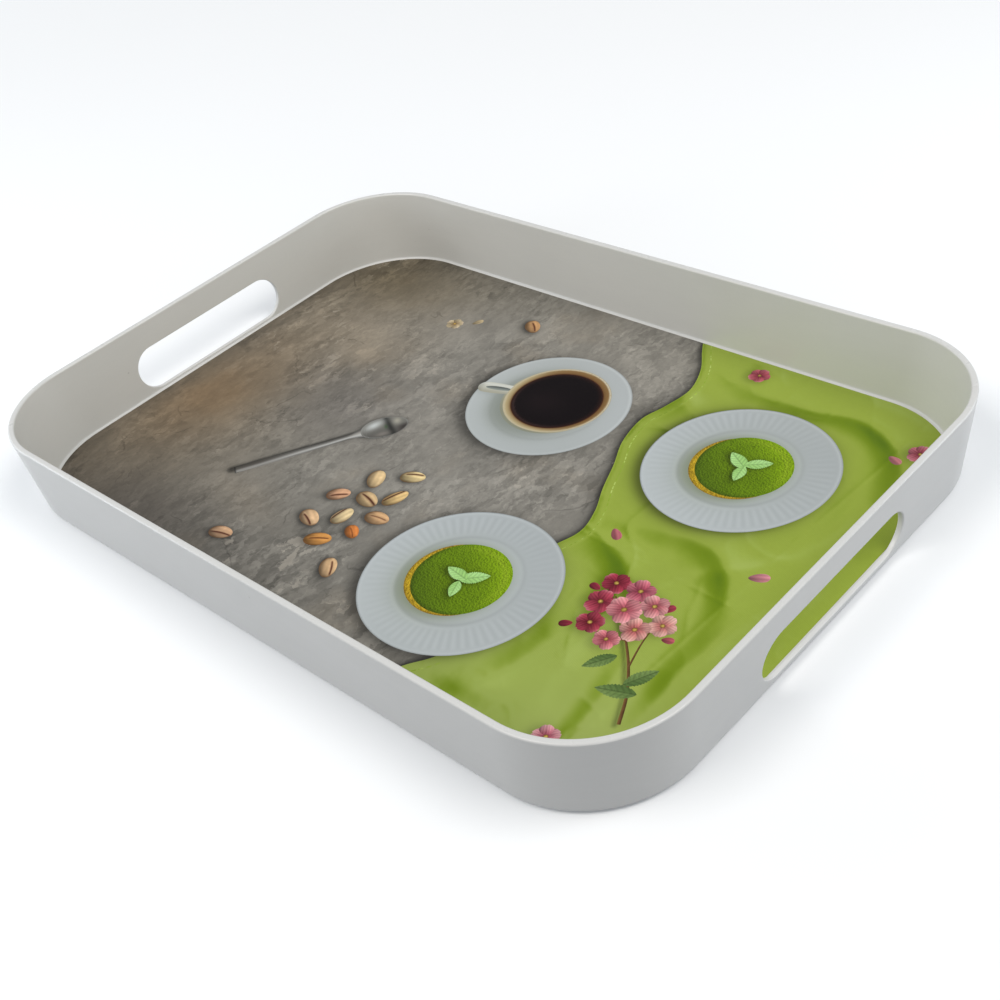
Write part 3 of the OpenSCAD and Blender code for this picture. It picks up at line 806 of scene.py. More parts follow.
def build_tray():
    out_x = lambda z: HALF_L - LEAN_X * (Z_HI - z)
    out_y = lambda z: HALF_W - LEAN_Y * (Z_HI - z)
    q = lambda d: math.radians(d)
    rings = []      # (half length, half width, radius, z, wear)
    def add(a, b, r, z, wear=0.0):
        rings.append((a, b, r, z, wear))
    bx, by, br = out_x(BASE_R), out_y(BASE_R), R_OUT - 0.3
    fx, fy, fr = bx - BASE_R, by - BASE_R, br - BASE_R
    # underside: recessed middle, rounded step, flat of the foot ring
    ux, uy, ur = fx - FOOT_W - FOOT_H, fy - FOOT_W - FOOT_H, fr - FOOT_W - FOOT_H
    add(ux - 0.6, uy - 0.6, ur - 0.6, FOOT_H)
    add(ux, uy, ur, FOOT_H)
    for d in (15, 30, 45, 60, 75, 90):
        k = 0.45 * math.sin(q(d)); h = 0.45 * (1 - math.cos(q(d)))
        add(ux + k, uy + k, ur + k, FOOT_H - h)
    for d in (75, 60, 45, 30, 15, 0):
        k = 0.45 + 0.55 * (1 - math.sin(q(d))); h = 0.45 + 0.55 * math.cos(q(d))
        add(ux + k, uy + k, ur + k, FOOT_H - h, 0.5)
    add(fx - FOOT_W + 0.8, fy - FOOT_W + 0.8, fr - FOOT_W + 0.8, 0.0, 0.8)
    add(fx - 0.8, fy - 0.8, fr - 0.8, 0.0, 0.8)
    add(fx, fy, fr, 0.0, 1.0)
    for d in (9, 18, 27, 36, 45, 54, 63, 72, 81, 90):
        k = BASE_R * (1 - math.sin(q(d))); h = BASE_R * (1 - math.cos(q(d)))
        # the corner between foot flat and wall, wear fades upwards
        add(bx - k, by - k, br - k, h, max(0.0, 1 - d / 40))
    lo_out = len(rings) - 1
    hi_x, hi_y = out_x(Z_HI), out_y(Z_HI)
    add(hi_x, hi_y, R_OUT, Z_HI, 0.1)
    hi_out = len(rings) - 1
    for d in (15, 30, 45, 60, 75, 90):
        k = RIM_R * (1 - math.cos(q(d))); h = RIM_R * (1 - math.sin(q(d)))
        add(hi_x - k, hi_y - k, R_OUT - k, HGT - h, 0.35 + 0.5 * math.sin(q(d)))
    ix, iy, ir = HALF_L - RIM_T, HALF_W - RIM_T, R_OUT - RIM_T
    for d in (90, 75, 60, 45, 30, 15, 0):
        k = RIM_R * (1 - math.cos(q(d))); h = RIM_R * (1 - math.sin(q(d)))
        add(ix + k, iy + k, ir + k, HGT - h, 0.35 + 0.5 * math.sin(q(d)))
    hi_in = len(rings) - 1
    cx, cy, cr = SEAT_X + STRIP + COVE_R, SEAT_Y + STRIP + COVE_R, R_FILM + STRIP + COVE_R
    add(cx, cy, cr, Z_LO_IN)
    lo_in = len(rings) - 1
    for d in (15, 30, 45, 60, 75, 90):
        k = COVE_R * (1 - math.cos(q(d))); h = COVE_R * (1 - math.sin(q(d)))
        add(cx - k, cy - k, cr - k, FLOOR_Z + h)
    add(SEAT_X + 0.06, SEAT_Y + 0.06, R_FILM + 0.06, FLOOR_Z)
    add(SEAT_X, SEAT_Y, R_FILM, FLOOR_Z - 0.06)
    add(SEAT_X, SEAT_Y, R_FILM, SEAT_Z)

    verts, wear, inside, faces = [], [], [], []
    ring_ids = []
    for k, (a, b, r, z, w) in enumerate(rings):
        ids = []
        # into: how much of the warmer inside colour a vertex gets, which is painted light inside the well
        into = min(1.0, max(0.0, (k - hi_in + 5) / 4)) if k <= lo_in else 0.4
        for x, y in ring_xy(a, b, r):
            ids.append(len(verts)); verts.append((x, y, z)); wear.append(w); inside.append(into)
        ring_ids.append(ids)
    n = len(ring_ids[0])
    n_y = len(YS)
    plus = set(range(0, n_y - 1))
    start_minus = n_y + (CORNER_N + 1) + len(XS) + (CORNER_N + 1)
    minus = set(range(start_minus, start_minus + n_y - 1))
    for k in range(len(rings) - 1):
        A, B = ring_ids[k], ring_ids[k + 1]
        slotted = (k == lo_out) or (k == hi_in)
        for i in range(n):
            if slotted and (i in plus or i in minus):
                continue
            j = (i + 1) % n
            faces.append((A[i], A[j], B[j], B[i]))
    # the seat's floor and the underside's middle, with the moulding gate's small dimple
    top = ring_ids[-1]
    tc = []
    for x, y in ring_xy(SEAT_X, SEAT_Y, R_FILM):
        t = math.atan2(y, x)
        tc.append(len(verts)); verts.append((9 * math.cos(t), 9 * math.sin(t), SEAT_Z)); wear.append(0); inside.append(1.0)
    for i in range(n):
        j = (i + 1) % n
        faces.append((top[i], top[j], tc[j], tc[i]))
    faces.append(tuple(tc))
    prev = ring_ids[0]
    base_xy = ring_xy(ux - 0.6, uy - 0.6, ur - 0.6)
    for rad, z in ((7.0, FOOT_H), (6.6, FOOT_H + 0.05), (6.3, FOOT_H + 0.30), (6.0, FOOT_H + 0.38), (2.2, FOOT_H + 0.38),
                   (1.9, FOOT_H + 0.34), (1.7, FOOT_H + 0.10), (1.4, FOOT_H + 0.04)):
        ids = []
        for x, y in base_xy:
            t = math.atan2(y, x)
            ids.append(len(verts)); verts.append((rad * math.cos(t), rad * math.sin(t), z)); wear.append(0); inside.append(0.0)
        for i in range(n):
            j = (i + 1) % n
            faces.append((prev[j], prev[i], ids[i], ids[j]))
        prev = ids
    faces.append(tuple(prev[::-1]))

    # the two hand slots: flat patches of wall round a stadium, rounded lips, tunnel
    def stadium(off, m=26):
        r = SLOT_H / 2 + off; c = SLOT_L / 2 - SLOT_H / 2; zc = SLOT_Z + SLOT_H / 2
        p = []
        for s, a0 in ((1, -90), (-1, 90)):
            for i in range(m + 1):
                t = math.radians(a0 + 180 * i / m)
                p.append((s * c + r * math.cos(t), zc + r * math.sin(t)))
        return p
    base = stadium(0.0)
    def dense(p):
        o = []
        for i in range(len(p)):
            a, b = p[i], p[(i + 1) % len(p)]
            d = math.dist(a, b); k = max(1, int(d / 6))
            for s in range(k):
                o.append((a[0] + (b[0] - a[0]) * s / k, a[1] + (b[1] - a[1]) * s / k))
        return o
    base = dense(base)
    zc = SLOT_Z + SLOT_H / 2; cc = SLOT_L / 2 - SLOT_H / 2
    nrm = []
    for y, z in base:
        yy = y - max(-cc, min(cc, y)); zz = z - zc
        d = math.hypot(yy, zz) or 1
        nrm.append((yy / d, zz / d))
    slope_in = ((HALF_L - RIM_T) - cx) / (Z_HI - Z_LO_IN)
    x_in = lambda z: cx + slope_in * (z - Z_LO_IN)
    for side in (1, -1):
        rings_s = []
        m = len(base)
        def put(offs, xf, into):
            ids = []
            for (y, z), (ny, nz) in zip(base, nrm):
                yy, zz = y + ny * offs, z + nz * offs
                ids.append(len(verts)); verts.append((side * xf(zz), yy, zz)); wear.append(0.55); inside.append(into)
            rings_s.append(ids)
        ro, ri = 0.8, 0.55
        for d in (0, 15, 30, 45, 60, 75, 90):
            put(ro * (1 - math.sin(q(d))), lambda z, d=d: out_x(z) - ro * (1 - math.cos(q(d))), 0.12 * d / 90)
        for d in (90, 75, 60, 45, 30, 15, 0):
            put(ri * (1 - math.sin(q(d))), lambda z, d=d: x_in(z) + ri * (1 - math.cos(q(d))), 1 - 0.88 * d / 90)
        for k in range(len(rings_s) - 1):
            A, B = rings_s[k], rings_s[k + 1]
            for i in range(m):
                j = (i + 1) % m
                f = (A[j], A[i], B[i], B[j])
                faces.append(f if side == 1 else f[::-1])
        for ring_lo, ring_hi, lip, outer in ((lo_out, hi_out, rings_s[0], True), (lo_in, hi_in, rings_s[-1], False)):
            idx = list(range(0, n_y)) if side == 1 else list(range(start_minus, start_minus + n_y))
            lo = [ring_ids[ring_lo][i] for i in idx]; hi = [ring_ids[ring_hi][i] for i in idx]
            loop = lo + hi[::-1]
            ids = loop + lip
            pts = [Vector((verts[i][1], verts[i][2])) for i in ids]
            e = [(i, (i + 1) % len(loop)) for i in range(len(loop))]
            L = len(loop)
            e += [(L + i, L + (i + 1) % m) for i in range(m)]
            vo, eo, fo, ov, oe, of_ = delaunay_2d_cdt(pts, e, [], 0, 1e-7)
            mp = [ids[o[0]] for o in ov]
            hole = np.array([[verts[i][1], verts[i][2]] for i in lip])
            for f in fo:
                c = np.mean([[vo[v].x, vo[v].y] for v in f], axis=0)
                if in_poly(np.array([c[0]]), np.array([c[1]]), hole)[0]:
                    continue
                t = [mp[v] for v in f]
                # (y, z) seen from +X is counter-clockwise for outward faces on the +X wall
                flip = (side == 1) != outer
                faces.append(tuple(t[::-1]) if flip else tuple(t))
    me = bpy.data.meshes.new("moulded_shell")
    me.from_pydata([(x / 1000, y / 1000, z / 1000) for x, y, z in verts], [], faces)
    w = me.attributes.new("wear", "FLOAT", "POINT")
    w.data.foreach_set("value", np.array(wear, dtype=np.float32))
    w = me.attributes.new("inside", "FLOAT", "POINT")
    w.data.foreach_set("value", np.array(inside, dtype=np.float32))
    bm = bmesh.new(); bm.from_mesh(me)
    bmesh.ops.remove_doubles(bm, verts=bm.verts, dist=1e-6)
    bmesh.ops.recalc_face_normals(bm, faces=bm.faces)
    open_edges = [e for e in bm.edges if len(e.link_faces) != 2]
    print("shell: verts", len(bm.verts), "faces", len(bm.faces), "open edges", len(open_edges))
    bm.to_mesh(me); bm.free()
    me.polygons.foreach_set("use_smooth", [True] * len(me.polygons))
    # vertex normals weighted by face area keep the large flat faces flat up to their small rounds
    nv = len(me.vertices)
    acc = np.zeros((nv, 3))
    for p in me.polygons:
        nrmv = np.array(p.normal) * p.area
        for v in p.vertices:
            acc[v] += nrmv
    acc /= np.maximum(np.linalg.norm(acc, axis=1), 1e-12)[:, None]
    me.normals_split_custom_set_from_vertices(acc.tolist())
    ob = bpy.data.objects.new("moulded_shell", me)
    scene.collection.objects.link(ob)
    return ob


# ================================================================ the printed film
PRINT_GAIN = 0.84      # how light the inks are


def build_film():
    hx, hy = SEAT_X - 0.05, SEAT_Y - 0.05
    r = R_FILM - 0.05
    edge = []
    def arc(cx, cy, a0, k=36):
        return [(cx + r * math.cos(t), cy + r * math.sin(t))
                for t in (math.radians(a0 + 90 * i / k) for i in range(k + 1))]
    for sx, sy, a0 in ((1, 1, 0), (-1, 1, 90), (-1, -1, 180), (1, -1, 270)):
        edge += arc(sx * (hx - r), sy * (hy - r), a0)
    def dense(p, step):
        o = []
        for i in range(len(p)):
            a, b = np.array(p[i]), np.array(p[(i + 1) % len(p)])
            k = max(1, int(round(np.linalg.norm(b - a) / step)))
            o += [tuple(a + (b - a) * s / k) for s in range(k)]
        return o
    edge = np.array(dense(edge, 3.0))
    pts, edges = [list(p) for p in edge], [(i, (i + 1) % len(edge)) for i in range(len(edge))]
    inner = edge * (1 - 0.0025)
    keep_in = lambda x, y: in_poly(x, y, inner)

    def add_loop(poly):
        k0 = len(pts)
        pts.extend([list(p) for p in poly])
        edges.extend([(k0 + i, k0 + (i + 1) % len(poly)) for i in range(len(poly))])

    rng = np.random.default_rng(11)
    def grid(x0, x1, y0, y1, step):
        xs = np.arange(x0, x1, step); ys = np.arange(y0, y1, step * 0.866)
        gx, gy = np.meshgrid(xs, ys)
        gx = gx + (np.arange(len(ys)) % 2)[:, None] * step / 2
        gx = gx + rng.uniform(-0.12, 0.12, gx.shape) * step
        gy = gy + rng.uniform(-0.12, 0.12, gy.shape) * step
        return gx.ravel(), gy.ravel()

    # cloth and stone share one open edge line, every other shape is a closed loop
    e = CLOTH_EDGE[(np.abs(CLOTH_EDGE[:, 1]) < hy - 0.2)]
    k0 = len(pts)
    pts.extend([list(p) for p in e]); edges.extend([(k0 + i, k0 + i + 1) for i in range(len(e) - 1)])
    for kind, out, fn, step in SHAPES[1:]:
        add_loop(out)
    cand_x, cand_y = [], []
    gx, gy = grid(-hx, hx, -hy, hy, 4.0)
    t = top_shape(gx, gy)
    m = (t < 0)
    cand_x.append(gx[m]); cand_y.append(gy[m])
    # finer points on the stone near the things that throw a shadow on it
    gx, gy = grid(-130, 125, -hy, hy, 1.5)
    m = (top_shape(gx, gy) < 0)
    m &= (ground_shadow(gx, gy) < 0.985)
    cand_x.append(gx[m]); cand_y.append(gy[m])
    gx, gy = grid(-10, hx, -hy, hy, SHAPES[0][3])
    m = top_shape(gx, gy) == 0
    cand_x.append(gx[m]); cand_y.append(gy[m])
    for k, (kind, out, fn, step) in enumerate(SHAPES):
        if k == 0:
            continue
        lo, hi = out.min(0), out.max(0)
        gx, gy = grid(lo[0], hi[0], lo[1], hi[1], step)
        m = in_poly(gx, gy, out)
        gx, gy = gx[m], gy[m]
        m = top_shape(gx, gy) == k
        gx, gy = gx[m], gy[m]
        if len(gx):
            d, sg, tt = along(gx, gy, np.vstack([out, out[:1]]))
            m = d > step * 0.45
            cand_x.append(gx[m]); cand_y.append(gy[m])
    # extra rings where plates, saucer and cup have their thin lines
    for cx, cy, rx, ry in [SAUCER] + PLATES:
        for k in (0.995, 0.985, 0.975, 0.962, 0.945):
            p = ellipse_pts(cx, cy, rx, ry, 0, 200, 0, k)
            cand_x.append(p[:, 0]); cand_y.append(p[:, 1])
    for k in (0.99, 0.975, 0.955, 0.93):
        for el in (CUP, COFFEE):
            p = ellipse_pts(*el, 0, 150, 0, k)
            cand_x.append(p[:, 0]); cand_y.append(p[:, 1])
    x = np.concatenate(cand_x); y = np.concatenate(cand_y)
    m = keep_in(x, y)
    x, y = x[m], y[m]
    key = np.unique(np.round(np.column_stack([x, y]) / 0.12).astype(int), axis=0, return_index=True)[1]
    x, y = x[np.sort(key)], y[np.sort(key)]
    pts.extend(np.column_stack([x, y]).tolist())
    vo, eo, fo, ov, oe, of_ = delaunay_2d_cdt([Vector(p) for p in pts], edges, [], 0, 1e-4)
    V = np.array([[v.x, v.y] for v in vo])
    T = np.array([f for f in fo if len(f) == 3])
    a, b, c = V[T[:, 0]], V[T[:, 1]], V[T[:, 2]]
    area = 0.5 * ((b - a)[:, 0] * (c - a)[:, 1] - (b - a)[:, 1] * (c - a)[:, 0])
    T[area < 0] = T[area < 0][:, ::-1]
    cen = (a + b + c) / 3
    good = in_poly(cen[:, 0], cen[:, 1], edge) & (np.abs(area) > 1e-7)
    T, cen = T[good], cen[good]
    used = np.unique(T); remap = -np.ones(len(V), int); remap[used] = np.arange(len(used))
    V, T = V[used], remap[T]
    top = top_shape(cen[:, 0], cen[:, 1])
    # corner colours: each corner is painted by the shape that its own triangle belongs to
    cx = V[T].reshape(-1, 2)
    col = paint(cx[:, 0], cx[:, 1], np.repeat(top, 3))
    kinds = np.array([STONE if k < 0 else SHAPES[k][0] for k in top])
    nt = len(T)
    # rim of the film: order the boundary edges
    e_all = np.vstack([T[:, [0, 1]], T[:, [1, 2]], T[:, [2, 0]]])
    seen = set(map(tuple, e_all.tolist()))
    nxt = {p: q for p, q in seen if (q, p) not in seen}
    start = next(iter(sorted(nxt))); loop = [start]
    while nxt[loop[-1]] != start:
        loop.append(nxt[loop[-1]])
    nv = len(V)
    zt, zb = FLOOR_Z, SEAT_Z + 0.02
    verts = [(p[0] / 1000, p[1] / 1000, zt / 1000) for p in V]
    verts += [(V[i][0] / 1000, V[i][1] / 1000, zb / 1000) for i in loop]
    faces = [tuple(int(v) for v in t) for t in T]
    L = len(loop)
    for i in range(L):
        j = (i + 1) % L
        faces.append((loop[j], loop[i], nv + i, nv + j))
    faces.append(tuple(nv + i for i in range(L))[::-1])
    me = bpy.data.meshes.new("printed_film")
    me.from_pydata(verts, [], faces)
    attr = me.attributes.new("paint", "FLOAT_COLOR", "CORNER")
    full = np.ones((len(me.loops), 4), np.float32)
    full[:, :3] = lin((214, 214, 208))
    full[:nt * 3, :3] = PRINT_GAIN * lin(col)
    attr.data.foreach_set("color", full.ravel())
    mi = np.full(len(me.polygons), CERAMIC, np.int32)
    mi[:nt] = kinds
    me.polygons.foreach_set("material_index", mi)
    # planar map for the bake: the picture fills the image above a thin strip kept for edge and back
    uv = me.uv_layers.new(name="OFBake")
    u = np.zeros((len(me.loops), 2), np.float32)
    u[:nt * 3, 0] = 0.004 + 0.992 * (cx[:, 0] + hx) / (2 * hx)
    u[:nt * 3, 1] = 0.040 + 0.956 * (cx[:, 1] + hy) / (2 * hy)
    k = nt * 3
    for i in range(L):
        s0, s1 = 0.52 + 0.46 * i / L, 0.52 + 0.46 * (i + 1) / L
        u[k:k + 4] = [(s1, 0.022), (s0, 0.022), (s0, 0.006), (s1, 0.006)]
        k += 4
    for i in range(L)[::-1]:
        px, py = V[loop[i]]
        u[k] = (0.01 + 0.46 * (px + hx) / (2 * hx), 0.004 + 0.020 * (py + hy) / (2 * hy)); k += 1
    uv.data.foreach_set("uv", u.ravel())
    me.update()
    print("film: verts", len(verts), "faces", len(faces))
    ob = bpy.data.objects.new("printed_film", me)
    scene.collection.objects.link(ob)
    return ob


# ================================================================ materials
def mat_plastic():
    m, nt, b = new_mat("moulded_plastic"); g = N(nt)
    co = g.coord()
    broad = g.noise(co, 9.0, 3, 0.55, 0.3)
    flow = g.noise(g.mapping(co, (1.0, 1.0, 5.0)), 26.0, 4, 0.6, 0.8)
    fine = g.noise(co, 900.0, 2, 0.6)
    scuff = g.noise(g.mapping(co, (1.0, 6.0, 1.0), (0, 0, 0.6)), 140.0, 5, 0.7, 0.4)
    scuff2 = g.noise(g.mapping(co, (7.0, 1.0, 1.0), (0, 0, -0.35)), 120.0, 5, 0.7, 0.4)
    wear = g.attr("wear", "Fac")
    ins = g.attr("inside", "Fac")
    # one plastic in two copies: the inside is painted warmer and the outside cooler, as painted light for the warm
    # light in the well and the cool light on the outer walls
    inside_painted_warm_light = g.mix(g.ramp(broad, 0.35, 0.65), INSIDE_A, INSIDE_B)
    outside_painted_cool_light = g.mix(g.ramp(broad, 0.35, 0.65), OUTSIDE_A, OUTSIDE_B)
    col = g.mix(ins, outside_painted_cool_light, inside_painted_warm_light)
    col = g.scale_col(col, g.remap(flow, 0.975, 1.025))
    col = g.scale_col(col, g.remap(fine, 0.985, 1.015))
    marks = g.math("MAXIMUM", g.ramp(scuff, 0.70, 0.78), g.ramp(scuff2, 0.71, 0.79))
    marks = g.math("MULTIPLY", marks, g.math("MULTIPLY_ADD", wear, 0.8, 0.12))
    col = g.mix(g.math("MULTIPLY", marks, 0.45), col, (0.40, 0.40, 0.38))
    # a very few specks in the moulding
    sp = g.voronoi(co, 75.0)
    spm = g.math("MULTIPLY", g.ramp(sp, 0.050, 0.030), g.ramp(g.noise(co, 23.0, 1, 0.5), 0.60, 0.64))
    col = g.mix(g.math("MULTIPLY", spm, 0.35), col, (0.30, 0.28, 0.25))
    g.put(b.inputs["Base Color"], col)
    rough = g.remap(g.noise(co, 38.0, 4, 0.6), 0.26, 0.38)
    rough = g.math("ADD", rough, g.math("MULTIPLY", marks, 0.22))
    rough = g.math("SUBTRACT", rough, g.math("MULTIPLY", wear, 0.05))
    g.put(b.inputs["Roughness"], rough)
    b.inputs["IOR"].default_value = 1.50
    h = g.math("ADD", g.math("MULTIPLY", g.noise(co, 420.0, 3, 0.6), 0.5), g.math("MULTIPLY", g.noise(co, 60.0, 2, 0.5), 0.5))
    h = g.math("SUBTRACT", h, g.math("MULTIPLY", marks, 0.25))
    g.put(b.inputs["Normal"], g.bump(h, 0.35, 0.00012))
    return m


def film_base(name, rough_lo=0.20, rough_hi=0.30):
    m, nt, b = new_mat(name); g = N(nt)
    co = g.coord()
    b.inputs["IOR"].default_value = 1.49
    b.inputs["Specular IOR Level"].default_value = 0.12
    g.put(b.inputs["Roughness"], g.remap(g.noise(co, 30.0, 3, 0.6), rough_lo, rough_hi))
    # the film's faint orange peel and hair scratches
    peel = g.noise(co, 260.0, 2, 0.5)
    hair = g.noise(g.mapping(co, (1.0, 14.0, 1.0), (0, 0, 0.5)), 60.0, 4, 0.6)
    g.put(b.inputs["Normal"], g.bump(g.math("ADD", g.math("MULTIPLY", peel, 0.6), g.math("MULTIPLY", hair, 0.4)), 0.25, 0.00008))
    return m, nt, b, g, co


def mat_stone():
    m, nt, b, g, co = film_base("print_stone")
    p = g.attr("paint")

    def warped(scale, amount, detail=4, seed=0.0):
        n = g.noise(g.mapping(co, (1, 1, 1), (0, 0, 0), (seed, 0, 0)), scale, detail, 0.62, 0.0, out=1)
        return g.vmath("ADD", co, g.vmath("MULTIPLY", g.vmath("SUBTRACT", n, (0.5, 0.5, 0.5)), (amount, amount, 0.0)))

    def cells(vec, scale, stretch, turn):
        """Daubs of plaster: every cell its own tone between 0 and 1, with a soft border."""
        n = g.nt.nodes.new("ShaderNodeTexVoronoi"); n.feature = "SMOOTH_F1"
        g.put(n.inputs["Vector"], g.mapping(vec, stretch, (0, 0, turn)))
        n.inputs["Scale"].default_value = scale
        n.inputs["Smoothness"].default_value = 0.12
        sep = g.nt.nodes.new("ShaderNodeSeparateColor")
        g.put(sep.inputs[0], n.outputs["Color"])
        return sep.outputs[0]

    wa = warped(70.0, 0.016)
    wb = warped(150.0, 0.011, 5, 0.4)
    wc = warped(320.0, 0.0050, 4, 0.9)
    big = cells(wa, 62.0, (2.3, 1.0, 1.0), 0.18)
    mid = cells(wb, 105.0, (2.9, 1.0, 1.0), -0.22)
    mid2 = cells(wb, 140.0, (2.4, 1.0, 1.0), 0.45)
    small = cells(wc, 300.0, (2.2, 1.0, 1.0), 0.3)
    broad = g.noise(co, 11.0, 4, 0.6, 0.3)
    cloud = g.noise(wa, 30.0, 6, 0.62, 0.2)
    region = g.ramp(g.noise(co, 12.0, 3, 0.6, 0.0, w=5.0), 0.47, 0.63)
    region2 = g.ramp(g.noise(co, 17.0, 3, 0.6, 0.0, w=9.0), 0.44, 0.60)
    k = g.remap(broad, 0.84, 1.16)
    k = g.math("MULTIPLY", k, g.remap(cloud, 0.78, 1.22))
    # strength of the daubs changes from place to place
    def vary(v, amp, mask, least):
        dev = g.math("SUBTRACT", v, 0.5)
        st = g.math("MULTIPLY_ADD", mask, amp * (1 - least), amp * least)
        return g.math("MULTIPLY_ADD", dev, st, 1.0)
    k = g.math("MULTIPLY", k, vary(big, 0.34, region, 0.30))
    k = g.math("MULTIPLY", k, vary(mid, 0.44, region, 0.22))
    k = g.math("MULTIPLY", k, vary(mid2, 0.34, region2, 0.20))
    k = g.math("MULTIPLY", k, vary(small, 0.26, region2, 0.45))
    k = g.math("MULTIPLY", k, g.remap(g.noise(g.mapping(wc, (1.0, 2.5, 1.0), (0, 0, 0.15)), 260.0, 4, 0.7), 0.90, 1.10))
    k = g.math("MULTIPLY", k, g.remap(g.noise(co, 1300.0, 2, 0.7), 0.94, 1.06))
    col = g.scale_col(p, k)
    # pale chalky flakes and the darker skin between them
    fl = g.noise(wb, 58.0, 7, 0.70, 0.3, w=2.0)
    pale = g.math("MULTIPLY", g.math("MULTIPLY", g.ramp(fl, 0.555, 0.585), g.ramp(mid, 0.35, 0.75)), region)
    col = g.mix(g.math("MULTIPLY", pale, 0.55), col, g.scale_col(g.mix(0.35, p, (0.47, 0.42, 0.35)), 1.28))
    dark = g.math("MULTIPLY", g.ramp(fl, 0.45, 0.40), region2)
    col = g.mix(g.math("MULTIPLY", dark, 0.45), col, g.scale_col(col, 0.70))
    # ochre tint that drifts over the surface
    col = g.mix(g.math("MULTIPLY", g.ramp(g.noise(co, 16.0, 4, 0.6, w=12.0), 0.50, 0.68), 0.22), col, g.vmath("MULTIPLY", col, (1.16, 0.99, 0.78)))
    # scratches and hairline cracks, broken up so they come and go
    for i, (sc, amt, turn, lo, tone) in enumerate(((13.0, 0.045, 0.4, 0.53, 0.55), (24.0, 0.060, -0.7, 0.55, 1.32), (34.0, 0.050, 0.2, 0.56, 0.62))):
        ck = g.voronoi(g.mapping(warped(20.0 + 6 * i, amt, 4, 1.7 + i), (1.0, 1.6, 1.0), (0, 0, turn)), sc, "DISTANCE_TO_EDGE")
        line = g.math("MULTIPLY", g.ramp(ck, 0.012 + 0.004 * i, 0.003), g.ramp(g.noise(co, 24.0, 3, 0.6, w=8.0 + 3 * i), lo, lo + 0.06))
        col = g.mix(g.math("MULTIPLY", line, 0.55), col, g.scale_col(col, tone))
    g.put(b.inputs["Base Color"], col)
    return m


def mat_cloth():
    m, nt, b, g, co = film_base("print_cloth")
    p = g.attr("paint")
    # warp and weft, two sets of threads 0.8 mm apart that cross square
    threads = []
    for turn in (0.35, 0.35 + math.pi / 2):
        wv = g.nt.nodes.new("ShaderNodeTexWave"); wv.wave_type = "BANDS"
        g.put(wv.inputs["Vector"], g.mapping(co, (1, 1, 1), (0, 0, turn)))
        wv.inputs["Scale"].default_value = 390.0; wv.inputs["Distortion"].default_value = 1.2
        wv.inputs["Detail"].default_value = 2.0
        threads.append(wv.outputs["Fac"])
    k = g.remap(g.noise(co, 700.0, 3, 0.7), 0.95, 1.05)
    k = g.math("MULTIPLY", k, g.remap(g.math("MULTIPLY", threads[0], threads[1]), 0.955, 1.075))
    k = g.math("MULTIPLY", k, g.remap(g.noise(co, 34.0, 4, 0.55, 0.3), 0.94, 1.06))
    g.put(b.inputs["Base Color"], g.scale_col(p, k))
    return m


def mat_ceramic():
    m, nt, b, g, co = film_base("print_crockery")
    p = g.attr("paint")
    k = g.math("MULTIPLY", g.remap(g.noise(co, 900.0, 2, 0.6), 0.985, 1.015), g.remap(g.noise(co, 40.0, 3, 0.5), 0.985, 1.015))
    g.put(b.inputs["Base Color"], g.scale_col(p, k))
    return m


def mat_cake():
    m, nt, b, g, co = film_base("print_cake")
    p = g.attr("paint")
    # velvet spray: packed small grains, lit from the upper right, with dark pits between them
    w = g.vmath("ADD", co, g.vmath("MULTIPLY", g.vmath("SUBTRACT", g.noise(co, 900.0, 2, 0.6, out=1), (0.5, 0.5, 0.5)), (0.0009, 0.0009, 0.0)))
    h1 = g.noise(w, 900.0, 3, 0.62)
    h2 = g.noise(g.mapping(w, (1, 1, 1), (0, 0, 0), (-0.00022, -0.00022, 0)), 900.0, 3, 0.62)
    rel = g.math("SUBTRACT", h1, h2)
    col = g.scale_col(p, g.ramp(rel, -0.10, 0.10, 0.62, 1.34, smooth=False))
    pits = g.ramp(h1, 0.44, 0.33)
    col = g.mix(g.math("MULTIPLY", pits, 0.70), col, g.scale_col(p, 0.42))
    col = g.mix(g.math("MULTIPLY", g.ramp(h1, 0.56, 0.68), 0.45), col, g.scale_col(p, 1.42))
    col = g.scale_col(col, g.remap(g.noise(co, 120.0, 3, 0.6), 0.88, 1.12))
    g.put(b.inputs["Base Color"], col)
    return m


def mat_detail():
    m, nt, b, g, co = film_base("print_detail")
    p = g.attr("paint")
    k = g.remap(g.noise(co, 620.0, 4, 0.7), 0.90, 1.10)
    k = g.math("MULTIPLY", k, g.remap(g.noise(g.mapping(co, (1, 3, 1), (0, 0, 0.8)), 500.0, 3, 0.6), 0.94, 1.06))
    g.put(b.inputs["Base Color"], g.scale_col(p, k))
    return m


def mat_floor():
    m, nt, b = new_mat("studio_floor"); g = N(nt)
    co = g.coord()
    k = g.remap(g.noise(co, 3.0, 3, 0.5), 0.985, 1.0)
    g.put(b.inputs["Base Color"], g.scale_col(g.mix(0.0, FLOOR_COL, FLOOR_COL), k))
    b.inputs["Roughness"].default_value = 0.85
    b.inputs["Specular IOR Level"].default_value = 0.1
    return m


# the same plastic inside and out; the inside colour is painted warmer and the outside cooler, painted light rather than
# a second material
INSIDE_A, INSIDE_B = (0.672, 0.656, 0.612), (0.656, 0.641, 0.596)
OUTSIDE_A, OUTSIDE_B = (0.645, 0.640, 0.626), (0.629, 0.625, 0.610)
FLOOR_COL = (0.925, 0.935, 0.95)

shell = build_tray()
shell.data.materials.append(mat_plastic())
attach(shell, "root")
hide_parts("tray_body")

film = build_film()
for f in (mat_stone, mat_cloth, mat_ceramic, mat_cake, mat_detail):
    film.data.materials.append(f())
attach(film, "root")
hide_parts("print_film")

